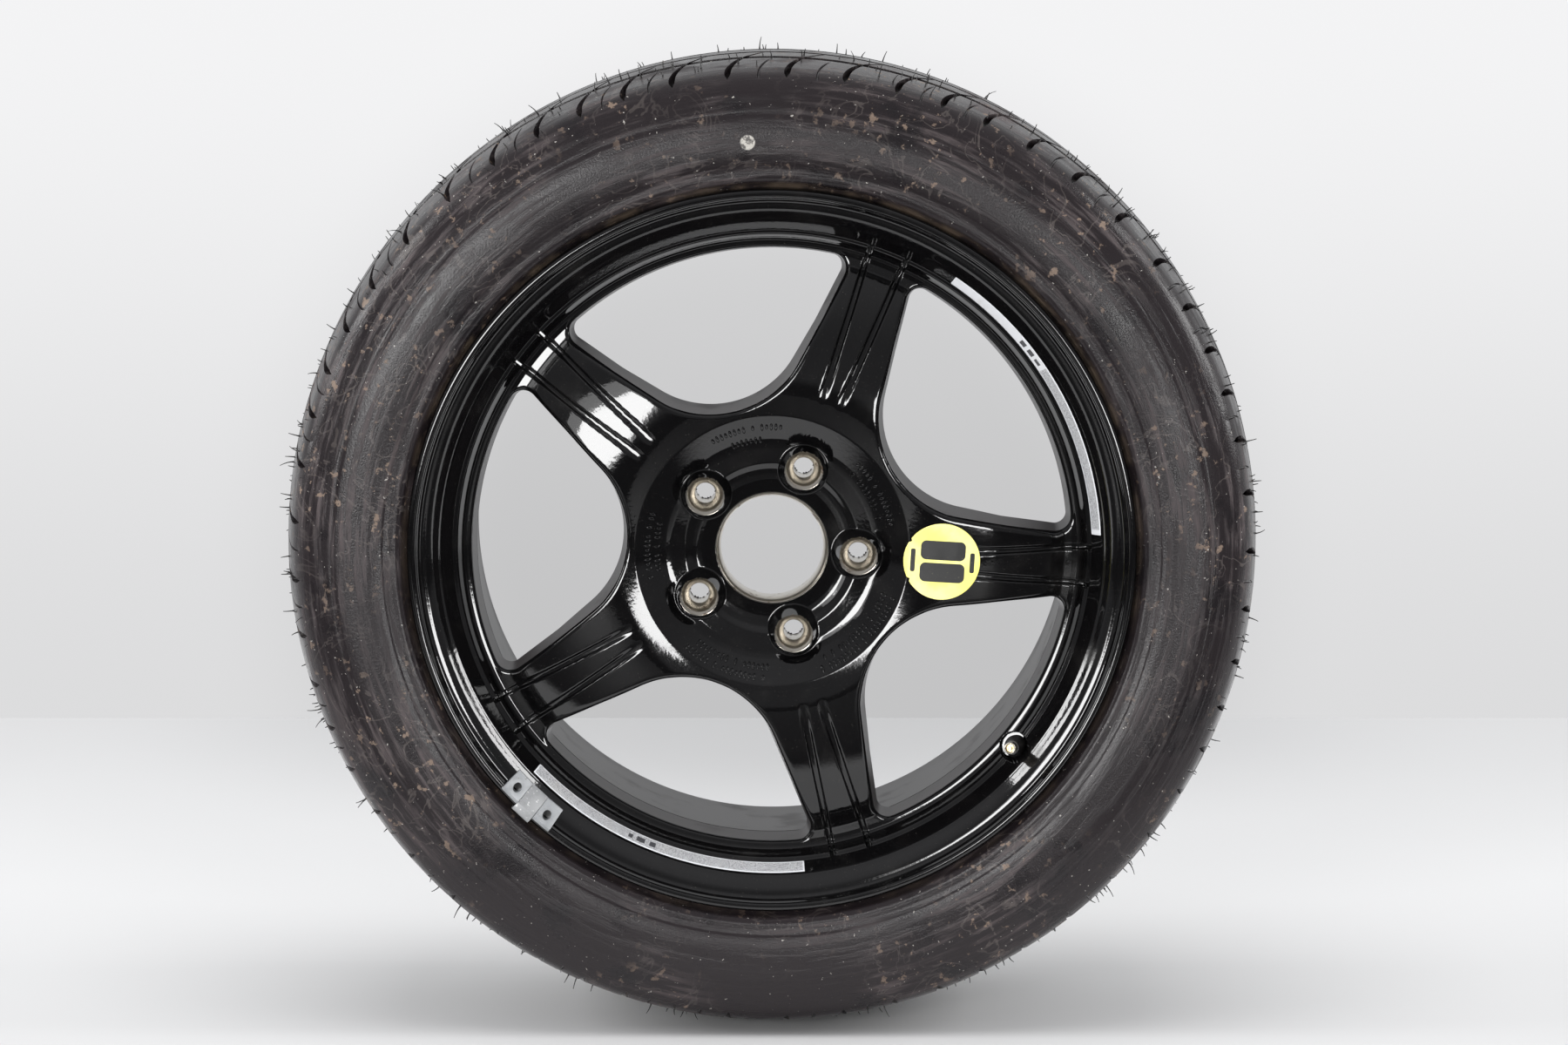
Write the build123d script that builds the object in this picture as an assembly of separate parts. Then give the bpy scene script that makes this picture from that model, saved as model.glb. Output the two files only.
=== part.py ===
from build123d import *
from math import cos, radians, sin, tan
import os

# Spare wheel: a cast five-spoke wheel with its tyre, snap-in valve, balance weight and labels.
# Millimetres. The spin axis is Y and the outboard face looks along -Y. The origin is the centre
# of the hub's mounting face. Heights are counted from that face towards the outboard side, and
# angles from +X towards +Z, as seen from outboard.

# Rim contour
seat_diameter = 436.6
seat_width = 190.5
seat_drop = 1.75
seat_land = 20.0
wheel_offset = 55.25
flange_rise = 17.3
flange_depth = 13.0
flange_bend = 0.7
hump_rise = 1.15
hump_land = 1.5
barrel_wall = 5.5
barrel_front_radius = 195.3
barrel_back_radius = 198.3
well_front_height = -1.0
slope_run = 10.0

# Outboard face of the rim: steps inwards and down from the crown to the window lip
crown_inset = 5.8
crown_drop = 1.8
crown_width = 4.4
crown_round = 1.2
lip_wall_run = 3.5
lip_wall_drop = 5.6
gutter_run = 5.8
gutter_drop = 2.0
gutter_round = 3.0
dish_run = 5.7
dish_drop = 6.6
dish_round = 9.0
ridge_run = 1.4
ridge_drop = 1.4
cone_run = 6.4
cone_drop = 9.1
shelf_run = 2.5
shelf_drop = 1.0
riser_run = 10.0
riser_drop = 8.0
riser_foot_round = 4.0

# Hub and spokes
bore_radius = 33.3
bore_mouth_width = 2.8
bore_mouth_depth = 4.0
bore_back_chamfer = 1.5
channel_height = 25.0
channel_radius = 45.0
channel_rise_run = 10.0
channel_rise_drop = 1.4
ledge_run = 8.0
ledge_height = 29.6
bowl_bend_run = 9.0
bowl_bend_rise = 2.3
bowl_run = 16.5
bowl_rise = 9.1
spoke_mid_radius = 150.0
spoke_mid_height = 37.0
spoke_end_inset = 4.5
spoke_end_height = 19.5
pad_radius = 75.0
pad_step = 5.0
spoke_back_radius = 150.0
spoke_back_height = 8.0
disc_back_height = -6.0
spoke_count = 5
spoke_angle = -3.5
spoke_step = 360 / spoke_count

# Windows between the spokes, as they are at the back of the disc
window_apex_radius = 98.5
window_hub_round = 60.0
window_half_spread = 44.3
window_rim_inset = 2.1
window_corner_round = 6.5
window_draft = 5.0
window_back = 12.0
window_depth = 70.0
hub_split_step = 1.0
spoke_split_inset = 5.0
rim_sectors = 10

# Two grooves along each spoke
groove_angle = 3.4
groove_inner_radius = 114.0
groove_outer_inset = 1.5
groove_inner_half = 2.6
groove_outer_half = 1.6
groove_depth = 2.2

# Pocket in the back of each spoke
back_pocket_inner_radius = 108.0
back_pocket_inset = 18.0
back_pocket_inner_half = 13.0
back_pocket_outer_half = 9.0
back_pocket_floor = 24.0

# Bolt seats
bolt_circle = 112.0
bolt_hole_radius = 6.6
ball_radius = 12.0
seat_mouth_inset = 0.5
seat_ring_width = 1.9
seat_ring_depth = 1.2
boss_wall = 2.2
boss_height = 30.0
boss_clearance = 2.9
pad_relief_radius = 10.0
pad_relief_depth = 8.0

# Valve: its own height is counted along its axis from the pocket floor in the rim
valve_angle = 320.25
valve_tilt = 12.0
valve_seat_step = 0.6
valve_seat_height = 14.0
valve_wall = 4.5
valve_hole_radius = 5.75
valve_pocket_radius = 9.4
valve_fit = 0.1
stem_head_radius = 8.2
stem_head_length = 6.0
stem_head_chamfer = 1.8
stem_collar_radius = 7.4
stem_collar_length = 2.5
stem_taper_length = 14.0
stem_taper_radius = 5.0
stem_end_radius = 4.7
stem_length = 24.0
tube_radius = 3.2
tube_tip_radius = 3.85
tube_length = 34.0
tube_bore_radius = 2.65
tube_throat_radius = 2.15
tube_throat_height = 18.0
tube_cone_length = 2.0
tube_chamfer = 0.5
core_thread_clearance = 0.08
core_thread_length = 5.0
core_height = 31.0
core_length = 16.5
core_barrel_radius = 1.9
core_plate = 1.0
core_chamber_radius = 1.45
pin_radius = 0.55
pin_clearance = 0.08
pin_head_radius = 0.95
pin_head_length = 0.8
pin_top = 33.6
pin_collar_radius = 1.25
pin_collar_length = 0.8
pin_collar_height = 25.0
pin_tail = 11.6
cup_radius = 1.6
cup_length = 1.8
cup_gap = 0.05
spring_coil_radius = 0.98
spring_wire_radius = 0.14
spring_wire_sides = 4
spring_turns = 4
gasket_thickness = 1.6

# Balance weight and its spring clip on the outer flange
weight_angle = 226.25
weight_span = 10.2
weight_gap = 0.2
weight_toe = 2.8
weight_lap = 0.6
weight_thickness = 5.0
weight_hole_radius = 2.8
weight_hole_turn = 3.35
weight_floor = 1.6
clip_span = 3.5
clip_thickness = 1.0
clip_gap = 0.15
clip_side_angle = 0.05
clip_knee_round = 1.0
clip_bend_round = 2.2
clip_hook_gap = 0.35
clip_drop = 6.2
clip_bridge = 2.6

# Round sticker on one spoke and two strips on the rim cone
sticker_angle = -3.5
sticker_radial = 110.0
sticker_radius = 24.8
sticker_thickness = 0.25
sticker_gap = 0.05
sticker_notch = 2.0
sticker_notch_angle = 31.0
strip_margin = 0.35
strip_thickness = 0.2
strip_gap = 0.05
upper_strip_angles = (2.5, 56.25)
lower_strip_angles = (223.25, 275.75)

# Tyre
tyre_radius = 318.4
section_half = 112.4
bead_gap = 0.3
bead_toe_inset = 17.0
bead_lift = 10.5
crevice_gap = 2.1
crevice_drop = 6.15
rib_rise = 3.8
rib_inset = 1.4
rib_round = 3.0
belly_low_share = 0.265
belly_high_share = 0.607
belly_round = 24.0
belly_round_limit = 1.2
shoulder_drop = 18.4
shoulder_low_half = 104.0
tread_half = 92.5
tread_edge_drop = 5.6
tread_mid_half = 58.0
tread_mid_drop = 1.5
tread_thickness = 15.5
side_thickness = 8.5
bead_thickness = 15.0
inner_bead_rise = 21.7
groove_places = (17.5, 51.0)
tread_groove_half = 4.6
tread_groove_depth = 7.5
slot_count = 57
slot_vary = 0.15
slot_waves = 8
slot_half_width = 1.6
slot_bend_half = 90.0
slot_inner_half = 60.0
slot_lean = 30.0
slot_depth = 6.5

# Values that follow from the ones above
seat_radius = seat_diameter / 2
seat_low_radius = seat_radius - seat_drop
hump_radius = seat_low_radius + hump_rise
flange_radius = seat_radius + flange_rise
outer_face = seat_width / 2 - wheel_offset
inner_face = -seat_width / 2 - wheel_offset
crown_height = outer_face + flange_depth
crown_inner_radius = flange_radius - crown_inset
crown_inner_height = crown_height - crown_drop
crown_peak_radius = crown_inner_radius + crown_width / 2
gutter_radius = crown_inner_radius - lip_wall_run
gutter_height = crown_inner_height - lip_wall_drop
dish_radius = gutter_radius - gutter_run
dish_height = gutter_height - gutter_drop
ridge_radius = dish_radius - dish_run
ridge_height = dish_height - dish_drop
cone_outer_radius = ridge_radius - ridge_run
cone_outer_height = ridge_height - ridge_drop
cone_inner_radius = cone_outer_radius - cone_run
cone_inner_height = cone_outer_height - cone_drop
riser_radius = cone_inner_radius - shelf_run
riser_height = cone_inner_height - shelf_drop
lip_radius = riser_radius - riser_run
lip_height = riser_height - riser_drop
disc_outer_radius = lip_radius + barrel_wall
spoke_end_radius = lip_radius - spoke_end_inset
window_rim_radius = lip_radius - window_rim_inset
groove_outer_radius = riser_radius - groove_outer_inset
back_pocket_outer_radius = spoke_end_radius - back_pocket_inset
bore_mouth_radius = bore_radius + bore_mouth_width
channel_edge_radius = channel_radius + channel_rise_run
channel_edge_height = ledge_height - channel_rise_drop
ledge_radius = channel_edge_radius + ledge_run
bowl_radius = ledge_radius + bowl_bend_run
bowl_height = ledge_height + bowl_bend_rise
hub_crown_radius = bowl_radius + bowl_run
hub_crown_height = bowl_height + bowl_rise
bolt_radius = bolt_circle / 2
seat_mouth_radius = ball_radius - seat_mouth_inset
seat_ring_radius = seat_mouth_radius + seat_ring_width
boss_radius = seat_ring_radius + boss_wall
boss_pocket_radius = boss_radius + boss_clearance
hub_split_radius = window_apex_radius + hub_split_step
spoke_split_radius = window_rim_radius - spoke_split_inset
valve_seat_radius = cone_inner_radius + valve_seat_step
weight_inner_radius = ridge_radius + weight_toe
weight_outer_radius = crown_peak_radius + weight_lap
weight_hole_radial = (weight_inner_radius + weight_outer_radius) / 2
clip_hook_height = crown_height - clip_drop
crevice_radius = flange_radius + crevice_gap
rib_radius = crevice_radius + rib_rise
shoulder_low_radius = tyre_radius - shoulder_drop
side_height = shoulder_low_radius - rib_radius
belly_low_radius = rib_radius + belly_low_share * side_height
belly_high_radius = rib_radius + belly_high_share * side_height
belly_fillet = min(belly_round, belly_round_limit * (belly_high_radius - belly_low_radius))
inner_bead_radius = seat_radius + inner_bead_rise
section = Plane((0, 0, 0), x_dir=(1, 0, 0), z_dir=(0, 0, -1))
overcut = 1.0


def ring(face, arc=360.0):
    return revolve(section * face, Axis.Y, revolution_arc=arc)


def turned(shape, angle):
    return Rot(0, -angle, 0) * shape


def arc_piece(face, start, end):
    return turned(ring(face, end - start), end)


def profile(corners):
    points = [(x, y) for x, y, _ in corners]
    return make_face(FilletPolyline(*points, radius=[r for _, _, r in corners], close=True).edges())


def band(curve, low, high):
    lower = Pos(0, low) * curve
    upper = Pos(0, high) * curve
    ends = [Line(lower @ 0, upper @ 0), Line(lower @ 1, upper @ 1)]
    return make_face(lower.edges() + upper.edges() + ends[0].edges() + ends[1].edges())


def around_axis(corners):
    points = [(x, y) for x, y in corners]
    return revolve(Plane.XZ * make_face(Polyline(*points, close=True).edges()), Axis.Z)


# Front of the hub's bowl, the spokes and the window lip as one curve in the section
def spoke_curve():
    crown = (hub_crown_radius, hub_crown_height)
    end = (spoke_end_radius, spoke_end_height)
    return Curve() + [
        Line((bowl_radius, bowl_height), crown),
        ThreePointArc(crown, (spoke_mid_radius, spoke_mid_height), end),
        Line(end, (disc_outer_radius, lip_height)),
    ]


# Section of barrel, bead seats and both flanges
def rim_section():
    flange_back = inner_face - flange_depth
    hump_top = outer_face - seat_land - hump_land
    hump_low = inner_face + seat_land + hump_land
    slope_out = (hump_top - hump_land, hump_low + hump_land)
    foot_radius = riser_radius - (riser_height - lip_height) / 2
    lip_back = flange_radius - 3 * crown_round
    bend_radius = seat_radius + flange_bend * flange_rise
    corners = [
        (lip_radius, lip_height, 0),
        (foot_radius, lip_height + crown_round, riser_foot_round),
        (riser_radius, riser_height, 0),
        (cone_inner_radius, cone_inner_height, 0),
        (cone_outer_radius, cone_outer_height, 0),
        (ridge_radius, ridge_height, 0),
        (dish_radius, dish_height, dish_round),
        (gutter_radius, gutter_height, gutter_round),
        (crown_inner_radius, crown_inner_height, 0),
        (crown_peak_radius, crown_height, crown_round),
        (flange_radius - crown_round, crown_height - crown_round, 0),
        (flange_radius, crown_height - 3 * crown_round, 0),
        (flange_radius, crown_height - 4 * crown_round, 0),
        (bend_radius, outer_face + crown_round, 0),
        (seat_radius, outer_face, 0),
        (seat_low_radius, outer_face - seat_land, 0),
        (hump_radius, hump_top, 0),
        (seat_low_radius - hump_rise, slope_out[0], 0),
        (barrel_front_radius + barrel_wall, well_front_height, 0),
        (barrel_back_radius + barrel_wall, slope_out[1] + slope_run, 0),
        (seat_low_radius - hump_rise, slope_out[1], 0),
        (hump_radius, hump_low, 0),
        (seat_low_radius, inner_face + seat_land, 0),
        (seat_radius, inner_face, 0),
        (bend_radius, inner_face - crown_round, 0),
        (flange_radius, flange_back + 4 * crown_round, 0),
        (flange_radius, flange_back + crown_round, 0),
        (lip_back, flange_back, 0),
        (seat_radius + barrel_wall, inner_face - barrel_wall / 2, 0),
        (seat_low_radius - barrel_wall, inner_face + seat_land / 2, 0),
        (seat_low_radius - barrel_wall, slope_out[1] - barrel_wall / 2, 0),
        (barrel_back_radius, slope_out[1] + slope_run - barrel_wall / 2, 0),
        (barrel_front_radius, disc_back_height, 0),
        (lip_radius, disc_back_height, 0),
    ]
    return profile(corners)


# Section of hub and spokes
def disc_section():
    front = spoke_curve()
    back = [
        (disc_outer_radius, disc_back_height),
        (spoke_end_radius, disc_back_height),
        (spoke_back_radius, spoke_back_height),
        (pad_radius + pad_step, pad_step),
        (pad_radius, 0),
        (bore_radius + bore_back_chamfer, 0),
        (bore_radius, bore_back_chamfer),
        (bore_radius, channel_height - bore_mouth_depth),
        (bore_mouth_radius, channel_height),
        (channel_radius, channel_height),
    ]
    level = (1, 0)
    edge = (channel_edge_radius, channel_edge_height)
    ledge = (ledge_radius, ledge_height)
    middle = [
        Polyline(front @ 1, *back),
        TangentArc(back[-1], edge, tangent=level),
        Line(edge, ledge),
        TangentArc(ledge, front @ 0, tangent=level),
    ]
    return make_face(front.edges() + [e for piece in middle for e in piece.edges()])


# One window: a rounded wedge out to the lip, opening towards the front
def window():
    tip = window_apex_radius + window_hub_round - window_hub_round / sin(radians(window_half_spread))
    reach = 2 * window_rim_radius
    side = reach * tan(radians(window_half_spread))
    wedge = make_face(Polyline((0, tip), (side, tip + reach), (-side, tip + reach), close=True).edges())
    wedge = fillet(wedge.vertices().sort_by(Axis.Y)[:1], window_hub_round)
    shape = wedge & Circle(window_rim_radius)
    shape = fillet(shape.vertices().sort_by(Axis.Y)[-2:], window_corner_round)
    return extrude(Plane.XZ.offset(-window_back) * shape, window_depth, taper=-window_draft)


def groove_plan(inner_radius, inner_half, outer_radius, outer_half):
    return make_hull((Pos(inner_radius, 0) * Circle(inner_half)
                      + Pos(outer_radius, 0) * Circle(outer_half)).edges())


# Grooves that follow the spoke's front at an even depth and run out over the riser
def spoke_grooves():
    zone = ring(band(spoke_curve(), -groove_depth, groove_depth))
    step = Rectangle(groove_outer_radius + groove_outer_half - spoke_end_radius, riser_height, align=Align.MIN)
    zone += ring(Pos(spoke_end_radius, spoke_end_height - groove_depth) * step)
    plan = groove_plan(groove_inner_radius, groove_inner_half, groove_outer_radius, groove_outer_half)
    bar = extrude(Plane.XZ * plan, window_depth)
    bars = [turned(bar, spoke_angle + k * spoke_step + side * groove_angle)
            for k in range(spoke_count) for side in (-1, 1)]
    return [zone & b for b in bars]


def back_pocket():
    plan = groove_plan(back_pocket_inner_radius, back_pocket_inner_half,
                       back_pocket_outer_radius, back_pocket_outer_half)
    return extrude(Plane.XZ.offset(-window_back) * plan, window_back + back_pocket_floor)


# Boss, recess, ball seat and through hole of one wheel bolt
def at_bolt(shape):
    return Pos(bolt_radius, 0, 0) * shape


def bolt_boss():
    return at_bolt(extrude(Plane.XZ.offset(channel_height - overcut) * Circle(boss_radius),
                           boss_height - channel_height + overcut))


def bolt_recess():
    return at_bolt(extrude(Plane.XZ.offset(boss_height) * Circle(boss_pocket_radius), window_depth))


def bolt_seat():
    mouth = boss_height - seat_ring_depth
    centre = mouth + (ball_radius ** 2 - seat_mouth_radius ** 2) ** 0.5
    ball = Pos(0, -centre, 0) * Sphere(ball_radius)
    cone = [(0, mouth), (seat_mouth_radius, mouth), (seat_ring_radius, boss_height),
            (seat_ring_radius, boss_height + overcut), (0, boss_height + overcut)]
    flare = ring(make_face(Polyline(*cone, close=True).edges()))
    hole = extrude(Plane.XZ.offset(-overcut) * Circle(bolt_hole_radius), boss_height)
    return at_bolt(ball + flare + hole)


def pad_relief():
    return turned(at_bolt(extrude(Plane.XZ.offset(-overcut) * Circle(pad_relief_radius),
                                  pad_relief_depth + overcut)), spoke_step / 2)


# The valve's own frame: z runs out along the stem from the pocket floor
def valve_frame():
    turn = radians(valve_angle)
    outward = Vector(cos(turn), 0, sin(turn))
    tilt = radians(valve_tilt)
    axis = outward * -sin(tilt) + Vector(0, -1, 0) * cos(tilt)
    return Plane(outward * valve_seat_radius + Vector(0, -valve_seat_height, 0),
                 x_dir=(-sin(turn), 0, cos(turn)), z_dir=axis)


def valve_cuts():
    front = extrude(Circle(valve_pocket_radius), tube_length)
    hole = extrude(Circle(valve_hole_radius), -2 * stem_head_length)
    inside = Pos(0, 0, -valve_wall) * extrude(Circle(stem_head_radius + overcut), -2 * stem_head_length)
    return [valve_frame() * cut for cut in (front, hole, inside)]


# The casting's section between two radii
def casting_section(inner, outer):
    low = inner_face - flange_depth - overcut
    zone = Pos(inner, low) * Rectangle(outer - inner, crown_height - low + overcut, align=Align.MIN)
    return (rim_section() + disc_section()) & zone


def patterned(cuts):
    return [turned(cut, spoke_angle + k * spoke_step) for k in range(spoke_count) for cut in cuts]


def windows():
    return [turned(window(), spoke_angle + spoke_step / 2 - 90 + k * spoke_step) for k in range(spoke_count)]


# The one-piece casting in three zones: the rim in sectors centred on spokes and windows, spokes and hub
def alloy_rim():
    face = casting_section(spoke_split_radius, flange_radius + overcut)
    turn = 360 / rim_sectors
    starts = [spoke_angle + (k - 1 / 2) * turn for k in range(rim_sectors)]
    cuts = windows() + spoke_grooves() + valve_cuts()
    pieces = [arc_piece(face, a, a + turn) - cuts for a in starts]
    return Compound([solid for piece in pieces for solid in piece.solids()])


def wheel_spokes():
    body = ring(casting_section(hub_split_radius, spoke_split_radius))
    return body - windows() - spoke_grooves() - patterned([back_pocket()])


def wheel_hub():
    body = ring(casting_section(0, hub_split_radius))
    body -= windows() + patterned([back_pocket(), bolt_recess(), pad_relief()])
    body += patterned([bolt_boss()])
    return body - patterned([bolt_seat()])


# Tyre: one closed shell, given as half widths from the rim's centre plane
def tyre_half():
    bead = seat_width / 2 - bead_gap
    return [
        (seat_radius - seat_drop + 2 * bead_gap, bead - bead_toe_inset, 0),
        (seat_radius + bead_gap, bead, 0),
        (seat_radius + bead_lift, bead, 0),
        (crevice_radius, seat_width / 2 + flange_depth - crevice_drop, 0),
        (rib_radius, section_half - rib_inset - rib_round, rib_round),
        (belly_low_radius, section_half, belly_fillet),
        (belly_high_radius, section_half, belly_fillet),
        (shoulder_low_radius, shoulder_low_half, 0),
        (tyre_radius - tread_edge_drop, tread_half, 0),
        (tyre_radius - tread_mid_drop, tread_mid_half, 0),
    ]


def tyre_inside():
    return [
        (inner_bead_radius, seat_width / 2 - bead_thickness),
        (belly_low_radius, section_half - side_thickness),
        (belly_high_radius, section_half - side_thickness),
        (tyre_radius - tread_thickness - tread_edge_drop, tread_half - tread_thickness / 2),
    ]


# One slot: level under the tread, then running out down the shoulder, leaning about its bend
def tread_slot(side):
    floor = tyre_radius - slot_depth
    top = tyre_radius + overcut
    corners = [(floor, slot_inner_half), (floor, slot_bend_half), (shoulder_low_radius, shoulder_low_half),
               (top, shoulder_low_half), (top, slot_inner_half)]
    plan = make_face(Polyline(*[(r, side * w) for r, w in corners], close=True).edges())
    bend = -side * slot_bend_half
    leaning = Pos(0, bend, 0) * Rot(-slot_lean, 0, 0) * Pos(0, -bend, 0)
    return Pos(0, wheel_offset, 0) * leaning * extrude(section * plan, slot_half_width, both=True)


def slot_angle(k):
    even = k * 360 / slot_count
    return even + slot_vary * (360 / slot_count) * sin(radians(slot_waves * even))


def tyre():
    half = tyre_half()
    hollow = tyre_inside()
    out = [(r, w - wheel_offset, f) for r, w, f in half]
    back = [(r, -w - wheel_offset, f) for r, w, f in reversed(half)]
    crown = [(tyre_radius, -wheel_offset, 0)]
    lining = [(r, -w - wheel_offset, 0) for r, w in hollow]
    lining += [(tyre_radius - tread_thickness, -wheel_offset, 0)]
    lining += [(r, w - wheel_offset, 0) for r, w in reversed(hollow)]
    body = ring(profile(out + crown + back + lining))
    grooves = [Pos(tyre_radius, side * place - wheel_offset)
               * Rectangle(2 * tread_groove_depth, 2 * tread_groove_half)
               for place in groove_places for side in (-1, 1)]
    body -= [ring(g) for g in grooves]
    slots = [turned(tread_slot(side), slot_angle(k + side / 4)) for side in (-1, 1) for k in range(slot_count)]
    return body - slots


# Valve pieces, each revolved about the valve's axis
def valve_stem():
    bore = tube_radius + valve_fit
    neck = valve_hole_radius - valve_fit
    head = -valve_wall - stem_head_length
    return around_axis([
        (bore, head), (stem_head_radius - stem_head_chamfer, head), (stem_head_radius, head + stem_head_chamfer),
        (stem_head_radius, -valve_wall), (neck, -valve_wall), (neck, 0),
        (stem_collar_radius, 0), (stem_collar_radius, stem_collar_length),
        (stem_taper_radius, stem_taper_length), (stem_end_radius, stem_length), (bore, stem_length),
    ])


def valve_tube():
    foot = -valve_wall - stem_head_length
    cone_top = tube_throat_height + tube_cone_length
    return around_axis([
        (tube_throat_radius, foot), (tube_radius, foot), (tube_radius, stem_length),
        (tube_tip_radius, stem_length), (tube_tip_radius, tube_length - tube_chamfer),
        (tube_tip_radius - tube_chamfer, tube_length), (tube_bore_radius + tube_chamfer, tube_length),
        (tube_bore_radius, tube_length - tube_chamfer), (tube_bore_radius, cone_top),
        (tube_throat_radius, tube_throat_height),
    ])


def valve_core():
    thread = tube_bore_radius - core_thread_clearance
    hole = pin_radius + pin_clearance
    thread_low = core_height - core_thread_length
    plate_low = core_height - core_length
    return around_axis([
        (hole, plate_low), (core_barrel_radius, plate_low), (core_barrel_radius, thread_low),
        (thread, thread_low), (thread, core_height), (hole, core_height),
        (hole, thread_low + core_plate), (core_chamber_radius, thread_low + core_plate),
        (core_chamber_radius, plate_low + core_plate), (hole, plate_low + core_plate),
    ])


def core_gasket():
    seat = tube_throat_height + tube_cone_length
    clear = core_thread_clearance
    return around_axis([
        (core_barrel_radius + clear, seat), (tube_bore_radius - clear, seat),
        (tube_bore_radius - clear, seat + gasket_thickness), (core_barrel_radius + clear, seat + gasket_thickness),
    ])


def valve_pin():
    head = pin_top - pin_head_length
    collar = pin_collar_height
    return around_axis([
        (0, pin_tail), (pin_radius, pin_tail), (pin_radius, collar), (pin_collar_radius, collar),
        (pin_collar_radius, collar + pin_collar_length), (pin_radius, collar + pin_collar_length),
        (pin_radius, head), (pin_head_radius, head), (pin_head_radius, pin_top), (0, pin_top),
    ])


def valve_seal():
    top = core_height - core_length - cup_gap
    return around_axis([
        (pin_radius, top - cup_length), (cup_radius, top - cup_length),
        (cup_radius, top), (pin_radius, top),
    ])


def valve_spring():
    low = core_height - core_length + core_plate + spring_wire_radius + cup_gap
    high = pin_collar_height - spring_wire_radius - cup_gap
    path = Helix((high - low) / spring_turns, high - low, spring_coil_radius)
    wire = Plane(path @ 0, z_dir=path % 0) * RegularPolygon(spring_wire_radius, spring_wire_sides)
    return Pos(0, 0, low) * sweep(wire, path)


# Balance weight: two lobes and a thin bridge that the clip lies on
def flange_curve():
    lean = (dish_height - ridge_height) / (dish_radius - ridge_radius)
    foot_height = ridge_height + lean * (weight_inner_radius - ridge_radius)
    return FilletPolyline((weight_inner_radius, foot_height), (dish_radius, dish_height),
                          (gutter_radius, gutter_height), (crown_inner_radius, crown_inner_height),
                          (crown_peak_radius, crown_height), (weight_outer_radius, crown_height),
                          radius=[dish_round, gutter_round, 0, 0])


def weight_top(thickness):
    curve = Pos(0, weight_gap) * flange_curve()
    bevel = Vector(thickness / 2, 0)
    lift = Vector(0, thickness)
    return curve @ 0 + bevel + lift, curve @ 1 - bevel + lift


def weight_section(thickness):
    curve = Pos(0, weight_gap) * flange_curve()
    inner, outer = weight_top(thickness)
    edge = Vector(0, thickness / 2)
    top = Polyline(curve @ 1, curve @ 1 + edge, outer, inner, curve @ 0 + edge, curve @ 0)
    return make_face(curve.edges() + top.edges())


def balance_weight():
    start = weight_angle - weight_span / 2
    end = weight_angle + weight_span / 2
    low = weight_angle - clip_span / 2
    high = weight_angle + clip_span / 2
    body = arc_piece(weight_section(weight_thickness), start, low)
    body += arc_piece(weight_section(clip_bridge), low, high)
    body += arc_piece(weight_section(weight_thickness), high, end)
    hole = extrude(Plane.XZ.offset(gutter_height + weight_floor) * Circle(weight_hole_radius), window_depth)
    holes = [turned(Pos(weight_hole_radial, 0, 0) * hole, weight_angle + side * weight_hole_turn)
             for side in (-1, 1)]
    return body - holes


# Spring clip: a bent strip from the bridge over the crown, hooked behind the flange's edge
def weight_clip():
    inner, outer = weight_top(clip_bridge)
    along = (outer - inner).normalized()
    lift = Vector(-along.Y, along.X) * (clip_gap + clip_thickness / 2)
    hook = flange_radius + clip_hook_gap + clip_thickness / 2
    knee = outer + lift
    path = FilletPolyline(inner + lift, knee, (hook, knee.Y), (hook, clip_hook_height),
                          radius=[clip_knee_round, clip_bend_round])
    half = clip_span / 2 - clip_side_angle
    return arc_piece(trace(path, clip_thickness), weight_angle - half, weight_angle + half)


# Sticker and strips, thin sheets that follow the surface they lie on
def speed_sticker():
    sheet = ring(band(spoke_curve(), sticker_gap, sticker_gap + sticker_thickness))
    plan = Circle(sticker_radius)
    for turn in (180 - sticker_notch_angle, 180 + sticker_notch_angle):
        plan -= Rot(0, 0, turn) * Pos(sticker_radius, 0) * Rot(0, 0, 45) * Rectangle(sticker_notch, sticker_notch)
    disc_tool = extrude(Plane.XZ * Pos(sticker_radial, 0) * plan, window_depth)
    return turned(sheet & disc_tool, sticker_angle)


def rim_strip(span):
    run = Vector(cone_outer_radius - cone_inner_radius, cone_outer_height - cone_inner_height)
    along = run.normalized()
    out = Vector(-along.Y, along.X)
    low = Vector(cone_inner_radius, cone_inner_height) + along * strip_margin
    high = Vector(cone_outer_radius, cone_outer_height) - along * strip_margin
    points = [low + out * strip_gap, high + out * strip_gap,
              high + out * (strip_gap + strip_thickness), low + out * (strip_gap + strip_thickness)]
    return arc_piece(make_face(Polyline(*points, close=True).edges()), *span)


valve = valve_frame()
nodes = {
    "alloy_rim": alloy_rim(),
    "wheel_spokes": wheel_spokes(),
    "wheel_hub": wheel_hub(),
    "tyre": tyre(),
    "valve_stem": valve * valve_stem(),
    "valve_tube": valve * valve_tube(),
    "valve_core": valve * valve_core(),
    "core_gasket": valve * core_gasket(),
    "valve_pin": valve * valve_pin(),
    "valve_seal": valve * valve_seal(),
    "valve_spring": valve * valve_spring(),
    "balance_weight": balance_weight(),
    "weight_clip": weight_clip(),
    "speed_sticker": speed_sticker(),
    "rim_label_upper": rim_strip(upper_strip_angles),
    "rim_label_lower": rim_strip(lower_strip_angles),
}

os.makedirs("parts", exist_ok=True)
for name, shape in nodes.items():
    export_step(shape, "parts/" + name + ".step")
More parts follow.
